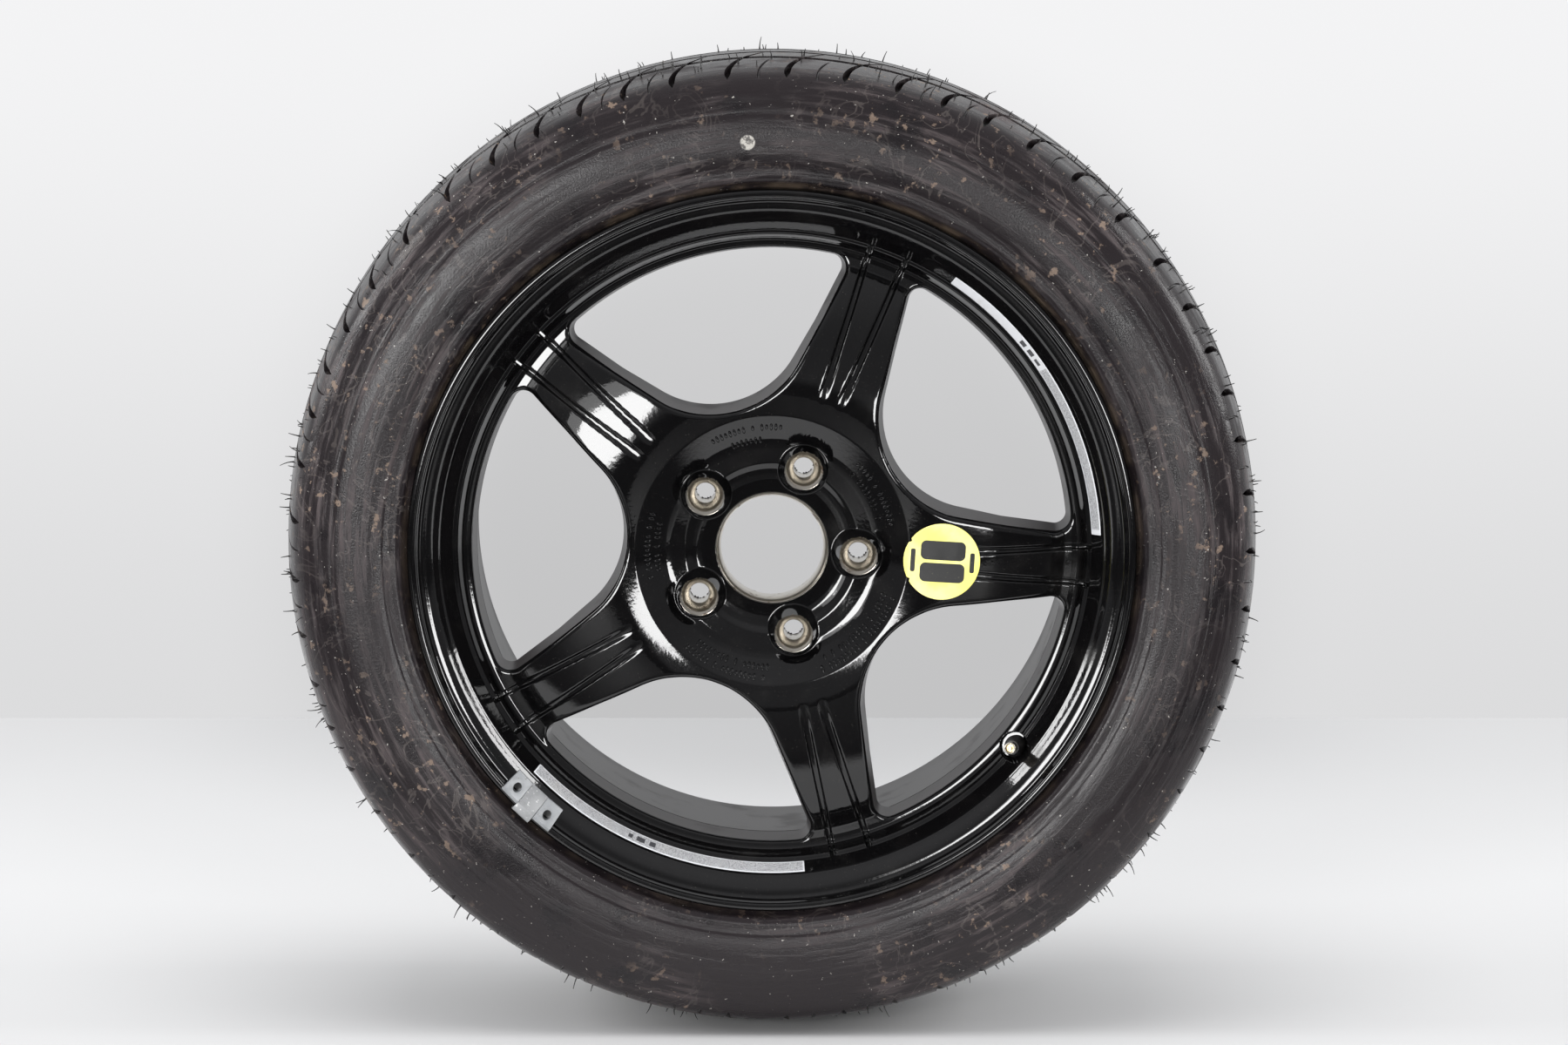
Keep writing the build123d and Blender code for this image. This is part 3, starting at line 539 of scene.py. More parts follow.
# Ring from the window lip over label cone, dish and crown to the flange, notched by grooves and valve pocket
def ringFace():
    line = roundCorners([(abs(frontEdge[-1]), 17.6), (198.6, 17.6), (201.0, 18.9), (204.2, 25.2), (205.4, 26.0),
                         (206.6, 26.5), (207.1, 26.8), (207.5, 27.2), (213.0, 35.1), (213.6, 35.9), (214.6, 37.1),
                         (216.0, 38.4), (220.6, 43.6), (223.4, 45.2), (226.4, 45.8), (228.8, 48.8), (229.7, 51.4),
                         (231.0, 52.9), (233.2, 53.0), (234.9, 51.6), (235.6, 49.2), (235.6, 46.4), (233.4, 43.0),
                         (230.3, 41.2)], 2)
    near = np.array([0, 0.12, 0.35, 0.7, 1.15, 1.7, 2.4, 3.2])
    line = np.vstack([np.stack([line[0, 0] + near, 17.6 + 0 * near], -1), line[line[:, 0] > line[0, 0] + 3.3]])
    fine = rim["grooveAngle"] + np.arange(-0.9, 0.91, 0.075)
    sector = np.unique(np.concatenate([np.arange(-half, half, 0.6), fine, -fine]).round(4))
    angles = (spokeAngles[:, None] + sector).ravel() % 360
    angles = np.unique(np.append(angles, rim["valveAngle"] + np.arange(-3.2, 3.21, 0.09)).round(4))
    phi = (angles - rim["spokeAngle"] + half) % sectorStep - half
    r = np.broadcast_to(line[:, :1], (len(line), len(angles)))
    h = np.broadcast_to(line[:, 1:], r.shape)
    phi = np.broadcast_to(phi[None], r.shape)
    lip = len(near) + 4  # rows that the window's round can reach
    drop = np.zeros(r.shape)
    drop[:lip] = edgeDrop(edgeDistance(r[:lip], phi[:lip], frontEdge), rim["edgeRound"])
    h = np.where(r < 210, cutGrooves(r, phi, h), h) - drop
    tilt = np.radians(rim["valveTilt"])
    off = np.radians(angles - rim["valveAngle"])[None]
    out = r * np.cos(off) - rim["valveSeat"]
    rise = out * np.cos(tilt) + (h - rim["valveSeatHeight"]) * np.sin(tilt)
    distance = np.hypot(r * np.sin(off), rise)
    floor = rim["valveSeatHeight"] + out * np.tan(tilt)
    inside = (1 - smoothStep(rim["pocketRadius"] - 0.5, rim["pocketRadius"] + 0.2, distance)) * (abs(off) < 0.1)
    h = np.where(line[:, 1:] < 44.0, h + inside * np.minimum(floor - h, 0), h)
    return place(r, angles[None], h), gridQuads(*r.shape, closed=True)


# A line of (radius, height) points turned about the spin axis, or about one beside it at centre (x, z)
def lathe(line, columns, centre=(0.0, 0.0)):
    line = np.array(line)
    turn = np.linspace(0, 360, columns, endpoint=False)
    points = place(line[:, :1], turn[None], line[:, 1:])
    points = points + np.array([centre[0], 0, centre[1]]) * 0.001
    return points, gridQuads(len(line), columns, closed=True)


# Tyre side of the rim, back flange and the barrel's inside, which ends at the windows' back edge
barrel = roundCorners([(230.3, 41.2), (218.3, 40.0), (218.3, 40.0), (216.5, 20.0), (217.7, 18.5), (215.4, 17.0),
                       (200.8, -1.0), (203.8, -117.5), (215.4, -127.5), (217.7, -129.0), (216.5, -130.5),
                       (218.3, -150.5), (230.4, -151.7), (235.6, -158.7), (235.6, -162.3), (232.0, -163.5),
                       (223.8, -153.2), (211.0, -140.5), (211.0, -130.2), (198.3, -120.2), (198.3, -120.2),
                       (195.3, -6.0), (195.3, -6.0), (abs(backEdge[-1]), -6.0)], 1)
rimPiece = makePiece("rim_face", hubFace + spokeFaces, paint)
rimRing = makePiece("rim_ring", [ringFace()], paint)
rimBarrel = makePiece("rim_barrel", [lathe(barrel, 300)] + windowWalls() + hubBack + spokeBacks, satin)
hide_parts("alloy_rim", "wheel_spokes", "wheel_hub")


# Bare bore band and ball seats, turned from the back to the front so that they face their axis
def boltSeat(angle):
    turn = np.radians(angle)
    centre = (rim["boltRadius"] * np.cos(turn), rim["boltRadius"] * np.sin(turn))
    mouth = rim["bossHeight"] - 1.2
    middle = mouth + np.sqrt(rim["ballRadius"] ** 2 - rim["seatMouth"] ** 2)
    x = np.linspace(rim["boltHole"], rim["seatMouth"], 14)
    ball = np.stack([x, middle - np.sqrt(rim["ballRadius"] ** 2 - x * x)], -1)
    line = [(7.6, -0.03), (7.2, 0.0), (rim["boltHole"], 0.6), (rim["boltHole"], 8.0), (rim["boltHole"], 21.8), *ball,
            (11.75, mouth + 0.05), (13.1, rim["bossHeight"] - 0.15), (rim["seatRing"], rim["bossHeight"] + 0.03),
            (rim["seatRing"] + 0.5, rim["bossHeight"] + 0.04)]
    return lathe(line, 72, centre)


bore = roundCorners([(35.6, -0.03), (rim["padEdge"], 0.0), (rim["boreRadius"], 1.5), (rim["boreRadius"], 20.8),
                     (rim["boreMouth"] - 0.2, 24.8), (rim["boreMouth"] + 0.5, 25.03)], 1)
metal = makePiece("bare_seats", [lathe(bore, 180)] + [boltSeat(a) for a in spokeAngles], bareMetal)
print("rim built")

# Tyre, with the CAD part's size and a slightly rounder shoulder. w counts across from the tyre's middle
tyre = dict(radius=(tyreHigh.z - tyreLow.z) * 500, middle=-(tyreHigh.y + tyreLow.y) * 500, slots=57, slotVary=0.15,
            slotWaves=8, slotDepth=6.5, slotEnd=24.0, slotLow=98.8, slotSweep=9.5, slotRun=44.0, slotCurve=1.7,
            slotWidths=((24, 0.9), (60, 1.1), (82, 1.3), (92, 1.35), (96, 1.15), (98.8, 0.15), (108, 0.1)),
            crownDrops=((0, 0), (25, 0.4), (45, 1.4), (60, 2.7), (75, 4.7), (87, 6.9)), sipeDepth=1.3,
            grooves=(51.0, 17.5), grooveHalf=4.6, grooveDepth=7.5, wallTop=297.0, ribHeight=0.3, ribPitch=1.5,
            ribBands=((285.0, 295.5), (242.0, 247.0)), flatBand=(251.0, 282.5), flatLift=0.35)


def treadRadius(w):
    return tyre["radius"] - np.interp(abs(w), *np.array(tyre["crownDrops"]).T)


# Half outline from the bead up to the tread's edge, as (radius, half width)
sideLine = roundCorners([(218.0, 77.0), (218.8, 94.4), (218.8, 94.4), (228.8, 94.9), (235.0, 98.4), (238.0, 102.4),
                         (239.8, 107.2), (242.6, 109.2), (246.0, 109.3), (249.0, 109.9), (257.0, 112.0),
                         (267.0, 112.4), (277.0, 111.9), (288.0, 108.9), (299.5, 104.2), (305.6, 99.8),
                         (309.2, 94.6), (311.5, 87.0)], 2)


def treadLine():
    edges = [c + s * (tyre["grooveHalf"] + d) for c in tyre["grooves"] for s in (-1, 1) for d in (0.0, -0.4)]
    plain = [84, 80, 76, 72, 68, 64, 60, 42, 38, 34, 30, 27, 24, 6]
    one = np.array(edges + plain)
    w = np.unique(np.concatenate([one, [0], -one]))[::-1]
    r = treadRadius(w)
    for c in tyre["grooves"]:
        r = np.where(abs(abs(w) - c) < tyre["grooveHalf"] - 0.2, r - tyre["grooveDepth"], r)
    return np.stack([r, w], -1)


def lineNormals(line):
    step = np.gradient(line, axis=0)
    normal = np.stack([-step[:, 1], step[:, 0]], -1)
    return normal / np.linalg.norm(normal, axis=1)[:, None]


# Sidewall below the slots: even steps along the outline, raised by fine ribs in two bands and by one
# flat band between them
def sideWall(step, columns, sign):
    length = np.append(0, np.cumsum(np.hypot(*np.diff(sideLine, axis=0).T)))
    at = np.linspace(0, length[-1], int(length[-1] / step))
    line = np.stack([np.interp(at, length, column) for column in sideLine.T], -1)
    line = np.vstack([line[line[:, 0] < tyre["wallTop"]], line[line[:, 0] >= tyre["wallTop"]][:3]])
    r, w = line.T
    outside = w > 100
    ribs = sum(smoothStep(a, a + 0.5, r) * smoothStep(b, b - 0.5, r) for a, b in tyre["ribBands"])
    lift = tyre["ribHeight"] * ribs * (0.5 - 0.5 * np.cos(2 * np.pi * r / tyre["ribPitch"]))
    a, b = tyre["flatBand"]
    lift = lift + tyre["flatLift"] * smoothStep(a, a + 0.6, r) * smoothStep(b, b - 0.6, r)
    line = line + (lift * outside)[:, None] * lineNormals(line)
    line[:, 1] = sign * line[:, 1] + tyre["middle"]
    points, quads = lathe(line, columns)
    return points, quads if sign > 0 else quads[:, ::-1]


# Tread and shoulders. Columns follow each slot, whose width and depth change with the distance w from
# the middle; slots sweep round with w, and two blocks in three carry a fine sipe
def treadMesh():
    side = sideLine[sideLine[:, 0] > tyre["wallTop"] - 0.2]
    line = np.vstack([side, treadLine(), np.stack([side[::-1, 0], -side[::-1, 1]], -1)])
    r, w = line[:, 0], line[:, 1]
    normal = lineNormals(line)
    slotX = np.array([-1.65, -1.2, 1.2, 1.65])
    slotCut = np.array([0, 1, 1, 0])
    blockX = np.array([0.2, 0.45, 0.462, 0.486, 0.498, 0.76])
    sipeCut = np.array([0, 0, 1, 1, 0, 0])
    even = np.arange(tyre["slots"] + 1) * 360 / tyre["slots"]
    start = even + tyre["slotVary"] * (360 / tyre["slots"]) * np.sin(np.radians(tyre["slotWaves"] * even))
    size = abs(w)
    width = np.interp(size, *np.array(tyre["slotWidths"]).T)
    run = tyre["slotLow"] - np.maximum(size, tyre["slotEnd"])
    sweep = -np.sign(w) * tyre["slotSweep"] * (np.maximum(run, 0) / tyre["slotRun"]) ** tyre["slotCurve"]
    sweep = sweep * np.minimum(size / tyre["slotEnd"], 1)
    deep = tyre["slotDepth"] * smoothStep(tyre["slotLow"] + 0.5, tyre["slotLow"] - 2.5, size)
    deep = deep * smoothStep(tyre["slotEnd"], tyre["slotEnd"] + 3, size)
    thin = tyre["sipeDepth"] * smoothStep(100, 97, size) * smoothStep(62, 66, size)
    angles, cuts = [], []
    for k in range(tyre["slots"]):
        lower, upper = start[k], start[k + 1]
        edge = np.degrees(slotX[None] * width[:, None] / tyre["radius"])
        block = lower + (upper - lower) * blockX[None] + 0 * w[:, None]
        angles += [lower + edge, block]
        sipe = 1.0 if k % 3 else 0.0
        cuts += [slotCut[None] * deep[:, None], sipeCut[None] * thin[:, None] * sipe]
    angles = np.concatenate(angles, 1) + np.degrees(sweep / tyre["radius"])[:, None]
    cuts = np.concatenate(cuts, 1)
    outR = r[:, None] - cuts * normal[:, :1]
    outW = w[:, None] - cuts * normal[:, 1:]
    return place(outR, angles, outW + tyre["middle"]), gridQuads(*angles.shape, closed=True)


insideHalf = np.array([(218.0, -77.0), (240.0, -80.2), (257.0, -103.9), (277.0, -103.9), (297.3, -84.7)])
tyreInside = roundCorners([*insideHalf, (302.9, 0.0), *(insideHalf[::-1] * (1, -1))], 1) + (0, tyre["middle"])
tyrePiece = makePiece("tyre_tread", [treadMesh()], tyreRubber, sharp=28)
tyreSides = makePiece("tyre_sides", [sideWall(0.75, 420, 1), sideWall(1.5, 300, -1), lathe(tyreInside, 180)],
                      tyreRubber)
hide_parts("tyre")

hair = dict(count=560, seed=4, frontShare=0.62, across=(26, 98), lengths=(2.5, 4.0, 6.0, 8.0),
            lengthShares=(0.35, 0.3, 0.2, 0.15), lean=0.22, outward=0.35)


# Vent hairs: thin bent four-sided stalks on tread and shoulders, each a spine with a ring at five places
def ventHairs():
    count = hair["count"]
    rng = np.random.default_rng(hair["seed"])
    side = np.where(rng.random(count) < hair["frontShare"], 1, -1)
    w = side * rng.uniform(*hair["across"], count)
    shoulder = sideLine[::-1][:12]
    r = np.where(abs(w) < 87, treadRadius(w), np.interp(-abs(w), -shoulder[:, 1], shoulder[:, 0]))
    angle = rng.uniform(0, 360, count)
    length = rng.choice(hair["lengths"], count, p=hair["lengthShares"]) * rng.uniform(0.8, 1.15, count)
    lean = rng.normal(0, hair["lean"], (2, count))
    length = length * (0.15 + 0.85 * smoothStep(5, 12, abs(angle - 270)))  # pressed flat where the tyre stands
    turn = np.radians(angle)
    radial = np.stack([np.cos(turn), 0 * turn, np.sin(turn)], -1)
    around = np.stack([-np.sin(turn), 0 * turn, np.cos(turn)], -1)
    axial = np.array([0.0, -1.0, 0.0]) * side[:, None]
    root = place(r - 0.5, angle, w + tyre["middle"])
    grow = np.linspace(0, 1, 5)
    reach = length[:, None] * grow
    spine = root[:, None] + (radial[:, None] * reach[..., None] + around[:, None]
                             * (lean[0][:, None] * reach * grow)[..., None] + axial[:, None]
                             * ((lean[1] + hair["outward"])[:, None] * reach)[..., None]) * 0.001
    thick = np.interp(grow, [0, 0.2, 1], [0.7, 0.42, 0.22]) * 0.001
    ring = np.linspace(0, 2 * np.pi, 4, endpoint=False)
    offset = around[:, None, None] * np.cos(ring)[:, None] + np.array([0.0, 1.0, 0.0]) * np.sin(ring)[:, None]
    points = spine[:, :, None] + offset * thick[None, :, None, None]
    quads = gridQuads(5, 4, closed=True)
    return [(p, quads) for p in points.reshape(count, 20, 3)]


hairs = makePiece("vent_hairs", ventHairs(), valveRubber)
print("tyre built")

# Strips on the rim's cone: a sheet with its edges turned down to the paint
strips = dict(inner=(207.5, 27.2), outer=(213.0, 35.1), lift=0.42, step=0.25,
              upper=(2.5, 56.25), lower=(223.25, 275.75))


def rimStrip(span):
    (lowR, lowH), (highR, highH) = strips["inner"], strips["outer"]
    across = np.array([0, 0.02, 0.06, 0.15, 0.3, 0.5, 0.7, 0.85, 0.94, 0.98, 1.0])
    turn = np.arange(span[1], span[0] - 0.01, -strips["step"])
    edge = np.minimum(smoothStep(0, 0.02, across), smoothStep(1, 0.98, across))[:, None]
    ends = np.minimum(smoothStep(span[0], span[0] + 0.2, turn), smoothStep(span[1], span[1] - 0.2, turn))[None]
    lift = strips["lift"] * np.minimum(edge, 0.3 + 0.7 * ends) - 0.1
    slope = np.arctan2(highH - lowH, highR - lowR)
    r = lowR + (highR - lowR) * across[:, None] - np.sin(slope) * lift
    h = lowH + (highH - lowH) * across[:, None] + np.cos(slope) * lift
    turns = np.broadcast_to(turn[None], r.shape)
    length = np.radians(span[1] - turns) * 210.0
    uv = np.stack([length, np.broadcast_to(across[:, None], r.shape)], -1)
    return (place(r, turns, h), gridQuads(*r.shape, flip=True)), uv


upperBoxes = [(74.0, 5.0, 0.3, 0.62, True), (66.0, 6.0, 0.22, 0.78, False), (58.5, 5.5, 0.22, 0.78, False)]
lowerBoxes = [(106.0, 6.5, 0.25, 0.75, False), (98.5, 5.0, 0.25, 0.75, False), (115.0, 3.0, 0.35, 0.7, True)]
for name, span, grey, boxes in (("rim_label_upper", strips["upper"], (82.0, 194.0), upperBoxes),
                                ("rim_label_lower", strips["lower"], (0.5, 192.0), lowerBoxes)):
    sheet, uv = rimStrip(span)
    strip = makePiece(name.replace("rim_label", "strip"), [sheet], stripMaterial(name, *grey, boxes), uv=uv)
    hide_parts(name)
print("strips laid")

# Speed sticker: a disc with two notches that follows the spoke's face, and its print as plain bars
sticker = dict(angle=-3.5, radial=110.0, radius=24.8, notchAngle=31.0, notchDepth=1.5, notchHalf=3.4, lift=0.3,
               bars=((0.5, 7.2, 29.0, 12.4), (0.5, -7.2, 29.0, 12.4)), corner=3.6, printLift=0.04,
               smallBars=((-18.8, 0.0, 3.0, 15.0), (19.6, 0.0, 3.0, 13.0)), smallCorner=1.2)


# Height of the sheet over a flat point given from the sticker's middle: x outward, z round the wheel
def stickerPoint(x, z, lift):
    out = sticker["radial"] + x
    r = np.hypot(out, z)
    return place(r, sticker["angle"] + np.degrees(np.arctan2(z, out)), frontLine(r) + lift)


def stickerSheet():
    turn = np.linspace(0, 360, 240, endpoint=False)
    off = abs(abs(180 - turn) - sticker["notchAngle"])
    reach = sticker["radius"] - sticker["notchDepth"] * np.clip(1 - off / sticker["notchHalf"], 0, 1)
    share = np.concatenate([np.linspace(0.002, 0.96, 26), [0.985, 0.997, 1.0, 1.0]])[:, None]
    lift = np.concatenate([np.full(26, 1.0), [1.0, 0.9, 0.6, -0.2]])[:, None] * sticker["lift"]
    x, z = share * reach * np.cos(np.radians(turn)), share * reach * np.sin(np.radians(turn))
    return stickerPoint(x, z, lift), gridQuads(*x.shape, closed=True)


# Bar with round corners: each row is shortened by the corner's circle where it nears the bar's end
def stickerBar(x, z, width, length, corner):
    across, along = np.meshgrid(np.linspace(-1, 1, 25), np.sin(np.linspace(-np.pi / 2, np.pi / 2, 41)))
    past = np.clip((abs(along) * length / 2 - (length / 2 - corner)) / corner, 0, 1)
    reach = width / 2 - corner * (1 - np.sqrt(1 - past ** 2))
    return (stickerPoint(x + across * reach, z + along * length / 2, sticker["lift"] + sticker["printLift"]),
            gridQuads(*across.shape, flip=True))


stickerPiece = makePiece("sticker_sheet", [stickerSheet()], stickerVinyl)
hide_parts("speed_sticker")
bars = [stickerBar(*b, sticker["corner"]) for b in sticker["bars"]]
bars += [stickerBar(*b, sticker["smallCorner"]) for b in sticker["smallBars"]]
stickerBars = makePiece("sticker_print", bars, stickerPrint)

# Cast marks in the hub's bowl: rows of small rounded studs where the casting carries raised marks
marks = dict(rows=((86.0, 119.0, 80.0), (96.0, 113.0, 71.5), (10.0, 47.0, 78.5), (14.0, 44.0, 71.5),
                   (163.0, 196.0, 80.5), (167.0, 192.0, 74.5), (229.0, 270.0, 83.5), (232.0, 268.0, 77.0),
                   (293.0, 342.0, 84.0), (296.0, 338.0, 78.0)),
             pitch=3.0, halfWidth=1.05, halfLength=2.3, height=1.2)


def castMarks():
    turn = np.radians(np.linspace(0, 360, 16, endpoint=False))[None]
    share = np.array([0.02, 0.45, 0.72, 0.9, 1.0])[:, None]
    lift = marks["height"] * np.array([1.0, 0.99, 0.93, 0.62, -0.3])[:, None]
    grids = []
    for row, (first, last, radius) in enumerate(marks["rows"]):
        step = np.degrees(marks["pitch"] / radius)
        for k, angle in enumerate(np.arange(first, last, step)):
            if (3 * k + 5 * row) % 11 in (4, 10):
                continue
            length = marks["halfLength"] * (1.0 if (k + row) % 3 else 0.7)
            x = radius + share * length * np.cos(turn)
            z = share * marks["halfWidth"] * np.sin(turn)
            r = np.hypot(x, z)
            grids.append((place(r, angle + np.degrees(np.arctan2(z, x)), frontLine(r) + lift),
                          gridQuads(*r.shape, closed=True)))
    return grids


studs = makePiece("cast_marks", castMarks(), paint)
print("sticker and marks laid")


# Valve pieces turned about the valve's tilted axis, from (radius, distance along the axis)
def valveLathe(line, columns=64):
    line = np.array(line)
    turn = np.radians(np.linspace(0, 360, columns, endpoint=False))[None]
    side, up, along = line[:, :1] * np.cos(turn), line[:, :1] * np.sin(turn), line[:, 1:] + 0 * turn
    tilt = np.radians(rim["valveTilt"])
    out = rim["valveSeat"] + up * np.cos(tilt) - along * np.sin(tilt)
    h = rim["valveSeatHeight"] + up * np.sin(tilt) + along * np.cos(tilt)
    return (place(np.hypot(out, side), rim["valveAngle"] + np.degrees(np.arctan2(side, out)), h),
            gridQuads(len(line), columns, closed=True))


thread = [(3.85 - 0.3 * (k % 2), 25.2 + 0.4 * k) for k in range(21)]
tubeLine = [(2.15, -10.5), (3.2, -10.5), (3.2, -10.4), (3.2, 23.9), (3.2, 24.0), (3.85, 24.0), (3.85, 24.1), *thread,
            (3.8, 33.5), (3.35, 34.0), (3.2, 34.02), (3.0, 33.9), (2.65, 33.5), (2.65, 33.3), (2.65, 20.0),
            (2.15, 18.0), (2.15, -10.4), (2.15, -10.5)]
stemLine = roundCorners([(3.3, -10.5), (6.4, -10.5), (8.2, -8.7), (8.2, -4.5), (8.2, -4.5), (5.65, -4.5),
                         (5.65, -4.4), (5.65, 0.0), (5.65, 0.0), (7.2, 0.0), (7.4, 0.2), (7.4, 2.3), (7.3, 2.6),
                         (6.6, 5.5), (5.0, 14.0), (4.7, 23.6), (4.6, 24.0), (3.3, 24.0), (3.3, 23.9),
                         (3.3, -10.5)], 1)
tube = makePiece("valve_thread", [valveLathe(tubeLine)], nickel)
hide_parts("valve_tube")
stem = makePiece("stem_rubber", [valveLathe(stemLine)], valveRubber)
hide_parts("valve_stem")


# A copy of a CAD node's mesh with its edges rounded
def roundedCopy(name, node, width, material):
    source = nodes[node]
    work = bmesh.new()
    work.from_mesh(source.data)
    work.transform(source.matrix_world)
    bmesh.ops.remove_doubles(work, verts=work.verts, dist=1e-6)
    bmesh.ops.dissolve_limit(work, angle_limit=np.radians(4), verts=work.verts, edges=work.edges)
    sharp = [e for e in work.edges if len(e.link_faces) == 2 and e.calc_face_angle(0) > np.radians(28)]
    bmesh.ops.bevel(work, geom=sharp, offset=width * 0.001, segments=3, profile=0.5, affect="EDGES",
                    clamp_overlap=True)
    bmesh.ops.triangulate(work, faces=work.faces)
    mesh = bpy.data.meshes.new(name)
    work.to_mesh(mesh)
    work.free()
    mesh.shade_smooth()
    mesh.set_sharp_from_angle(angle=np.radians(32))
    piece = addObject(name, mesh)
    mesh.materials.append(material)
    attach(piece, "wheel")
    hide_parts(node)


roundedCopy("weight_lobes", "balance_weight", weight["lobeRound"], weightCoat)
roundedCopy("clip_strip", "weight_clip", weight["clipRound"], clipCoat)
for name, material in (("valve_core", brass), ("core_gasket", sealRubber), ("valve_pin", brass),
                       ("valve_seal", sealRubber)):
    nodes[name].data.materials.clear()
    nodes[name].data.materials.append(material)

# Sizes in metres; way is the direction in which the pin is pushed
spring = dict(coil=0.00098, wire=0.00014, turns=4, steps=97, sides=8, way=np.array([0.1599, 0.9781, -0.1329]))


# Spring: a round wire carried along a helix about the pin's axis, its ends drawn in to points
def springWire(centre, low, high):
    way, wire, steps = spring["way"], spring["wire"], spring["steps"]
    side = np.cross(way, [0, 0, 1])
    side = side / np.linalg.norm(side)
    turn = np.linspace(0, 2 * np.pi * spring["turns"], steps)[:, None, None]
    rise = np.linspace(low + wire, high - wire, steps)[:, None, None]
    ring = np.linspace(0, 2 * np.pi, spring["sides"], endpoint=False)[None, :, None]
    thick = np.full((steps, 1, 1), wire)
    thick[[0, -1]] *= 0.02
    out = side * np.cos(turn) + np.cross(way, side) * np.sin(turn)
    points = centre + out * (spring["coil"] + thick * np.cos(ring)) + way * (rise + thick * np.sin(ring))
    return points, gridQuads(steps, spring["sides"], closed=True)


# The wire spans the CAD spring's length along the pin's way, about its middle
coil = np.empty((len(nodes["valve_spring"].data.vertices), 3), np.float32)
nodes["valve_spring"].data.vertices.foreach_get("co", coil.ravel())
coil = coil.astype(float)
middle = coil.mean(0)
along = (coil - middle) @ spring["way"]
springPiece = makePiece("spring_wire", [springWire(middle, along.min(), along.max())], springSteel, body=None)
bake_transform(springPiece)
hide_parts("valve_spring")
print("valve and weight built")

# Floor, which ends at the wall line, with a painted shadow that makes it darker behind the wheel and a painted
# reflection that shows it dark in reflections beyond its white front, and the room round it
room = dict(floorBack=1.17, floorHalf=2.6, floorFront=-1.7, whiteFront=-0.275, floor=(0.54, 0.54, 0.543),
            paintedFloorShadow=(0.42, 0.42, 0.423), outer=(0.77, 0.77, 0.778), mirrored=(0.85, 0.85, 0.855),
            dark=(0.02, 0.02, 0.021), wall=(0.80, 0.81, 0.82), low=0.06, front=0.28, top=0.6,
            wallLow=0.72, wallHigh=0.9, paintedShadowWay=(-0.002, 0.99, -0.139), paintedWallShadow=0.24)


def makeFloor():
    low = -tyre["radius"] * 0.001
    side, front, back = room["floorHalf"], room["floorFront"], room["floorBack"]
    corners = [(-side, front, low), (side, front, low), (side, back, low), (-side, back, low)]
    mesh = bpy.data.meshes.new("floor")
    mesh.from_pydata(corners, [], [(0, 1, 2, 3)])
    floor = addObject("floor", mesh)
    material, tree, shader, point = newMaterial("floor_white", room["floor"], 0.6)
    pale = mixColour(tree, noise(tree, point, 3.0), room["floor"], tuple(0.97 * c for c in room["floor"]))
    # Painted shadow: the floor is coloured darker near the wall line behind the wheel
    pale = mixColour(tree, nearTo(tree, point, 0, back, low, 0.15, 0.62), pale, room["paintedFloorShadow"])
    ahead = ramp(tree, parts(tree, point)[1], room["whiteFront"] - 0.03, room["whiteFront"] + 0.03, 1.0, 0.0)
    path = addNode(tree, "LightPath").outputs
    beyond = math(tree, "SUBTRACT", 1.0, nearTo(tree, point, 0, 0.6, low, 0.6, 1.2))  # even tone farther out
    outer = addNode(tree, "Emission", {"Color": (*room["outer"], 1.0)})
    both = addNode(tree, "MixShader", {0: times(tree, beyond, path["Is Camera Ray"]),
                                                 1: shader.outputs[0], 2: outer.outputs[0]})
    tree.links.new(both.outputs[0], tree.nodes["Material Output"].inputs["Surface"])
    # Painted reflection: only glossy rays see this floor colour, white up to the front edge and near black beyond
    mirrored = mixColour(tree, ahead, room["mirrored"], room["dark"])
    tree.links.new(mixColour(tree, path["Is Glossy Ray"], pale, mirrored), shader.inputs["Base Color"])
    mesh.materials.append(material)


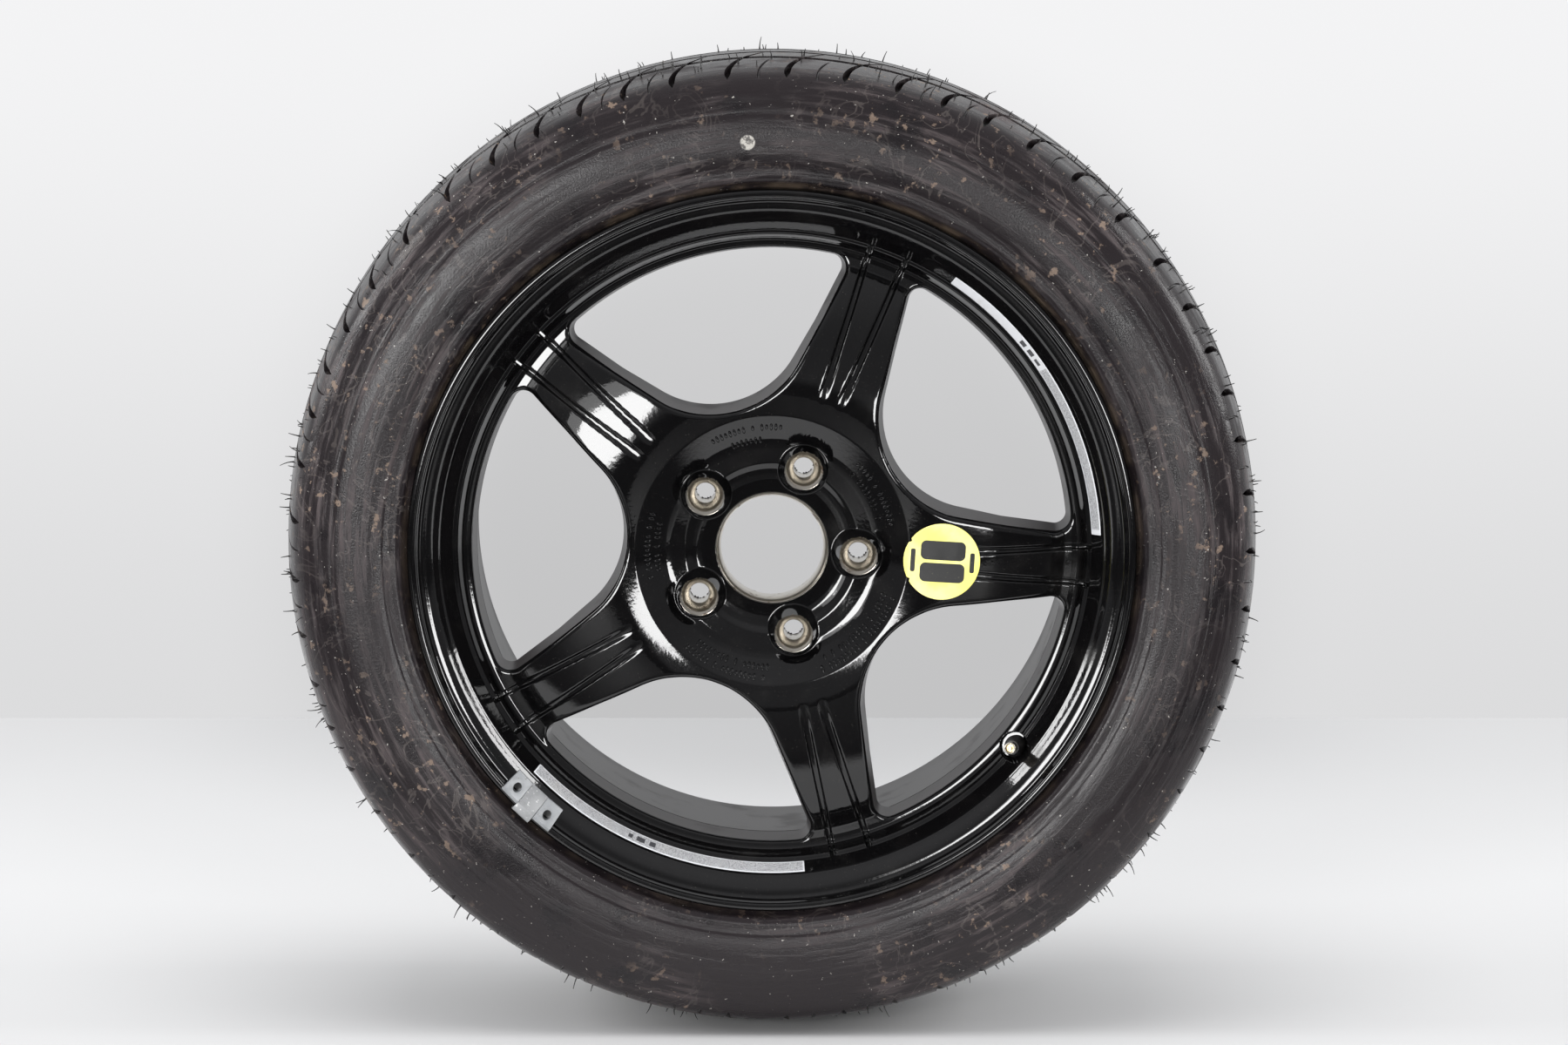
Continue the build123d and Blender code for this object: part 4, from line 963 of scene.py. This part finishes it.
# Room light by direction: dark low down in front, dim level in front, brighter behind and above
def makeWorld():
    world = bpy.data.worlds.new("room")
    scene.world = world
    world.use_nodes = True
    tree = world.node_tree
    way = addNode(tree, "TexCoord").outputs["Generated"]
    part = parts(tree, way)
    level = ramp(tree, part[2], -0.08, -0.01, room["low"], room["front"])
    level = math(tree, "ADD", level, ramp(tree, part[2], 0.3, 0.95, 0.0, room["top"] - room["front"]))
    grey = addNode(tree, "CombineColor", {0: level, 1: level, 2: times(tree, level, 1.03)})
    behind = ramp(tree, part[1], -0.2, 0.35)
    colour = mixColour(tree, behind, grey.outputs[0], room["wall"])
    seen = addNode(tree, "LightPath").outputs["Is Camera Ray"]
    # Camera rays see the backdrop with painted shade, darker towards the floor, and a painted shadow of the wheel as
    # a darker spot round the wheel's direction
    fall = ramp(tree, part[2], -0.17, -0.04, room["wallLow"], room["wallHigh"])
    paintedWallShadow = times(tree, nearTo(tree, way, *room["paintedShadowWay"], 0.045, 0.105), room["paintedWallShadow"])
    fall = times(tree, fall, math(tree, "SUBTRACT", 1.0, paintedWallShadow))
    wall = addNode(tree, "CombineColor", {0: fall, 1: fall, 2: times(tree, fall, 1.01)})
    tree.links.new(mixColour(tree, seen, colour, wall.outputs[0]), tree.nodes["Background"].inputs["Color"])


def addSoftbox(name, at, size, power, mirrored=True):
    light = bpy.data.lights.new(name, "AREA")
    light.shape = "RECTANGLE"
    light.size, light.size_y = size
    light.energy = power
    lamp = addObject(name, light)
    lamp.location = at
    lamp.rotation_euler = (-Vector(at)).to_track_quat("-Z", "Y").to_euler()
    lamp.visible_camera = False
    lamp.visible_glossy = mirrored


# Place, size in metres and power in watts
softboxes = {"box_front_left": ((-0.97, -2.84, 0.27), (1.0, 0.72), 46),
             "glow_front_left": ((-1.13, -2.9, 0.4), (1.5, 1.1), 16),
             "strip_front_right": ((0.89, -2.55, -0.045), (1.05, 0.33), 24),
             "box_left": ((-2.28, -0.16, 1.02), (0.7, 1.2), 42),
             "box_right": ((2.28, -0.12, 1.02), (0.7, 1.3), 42),
             "box_top": ((0, -0.5, 3.2), (2.4, 1.4), 60, False)}  # not seen in reflections

makeFloor()
makeWorld()
for name, settings in softboxes.items():
    addSoftbox(name, *settings)

# Camera at the photo's place: a 127 mm lens on a 36 mm sensor, pitched down
view = dict(at=(0.0078, -3.581, 0.5017), pitch=7.77, focalPixels=6351.0, imageWidth=1800.0, sensor=36.0)
camera = bpy.data.cameras.new("camera")
camera.sensor_width = view["sensor"]
camera.lens = view["focalPixels"] * view["sensor"] / view["imageWidth"]
camera.clip_end = 50
eye = addObject("camera", camera)
eye.location = view["at"]
eye.rotation_euler = (np.radians(90 - view["pitch"]), 0, 0)
scene.camera = eye
scene.view_settings.view_transform = "Standard"
print("stage ready")
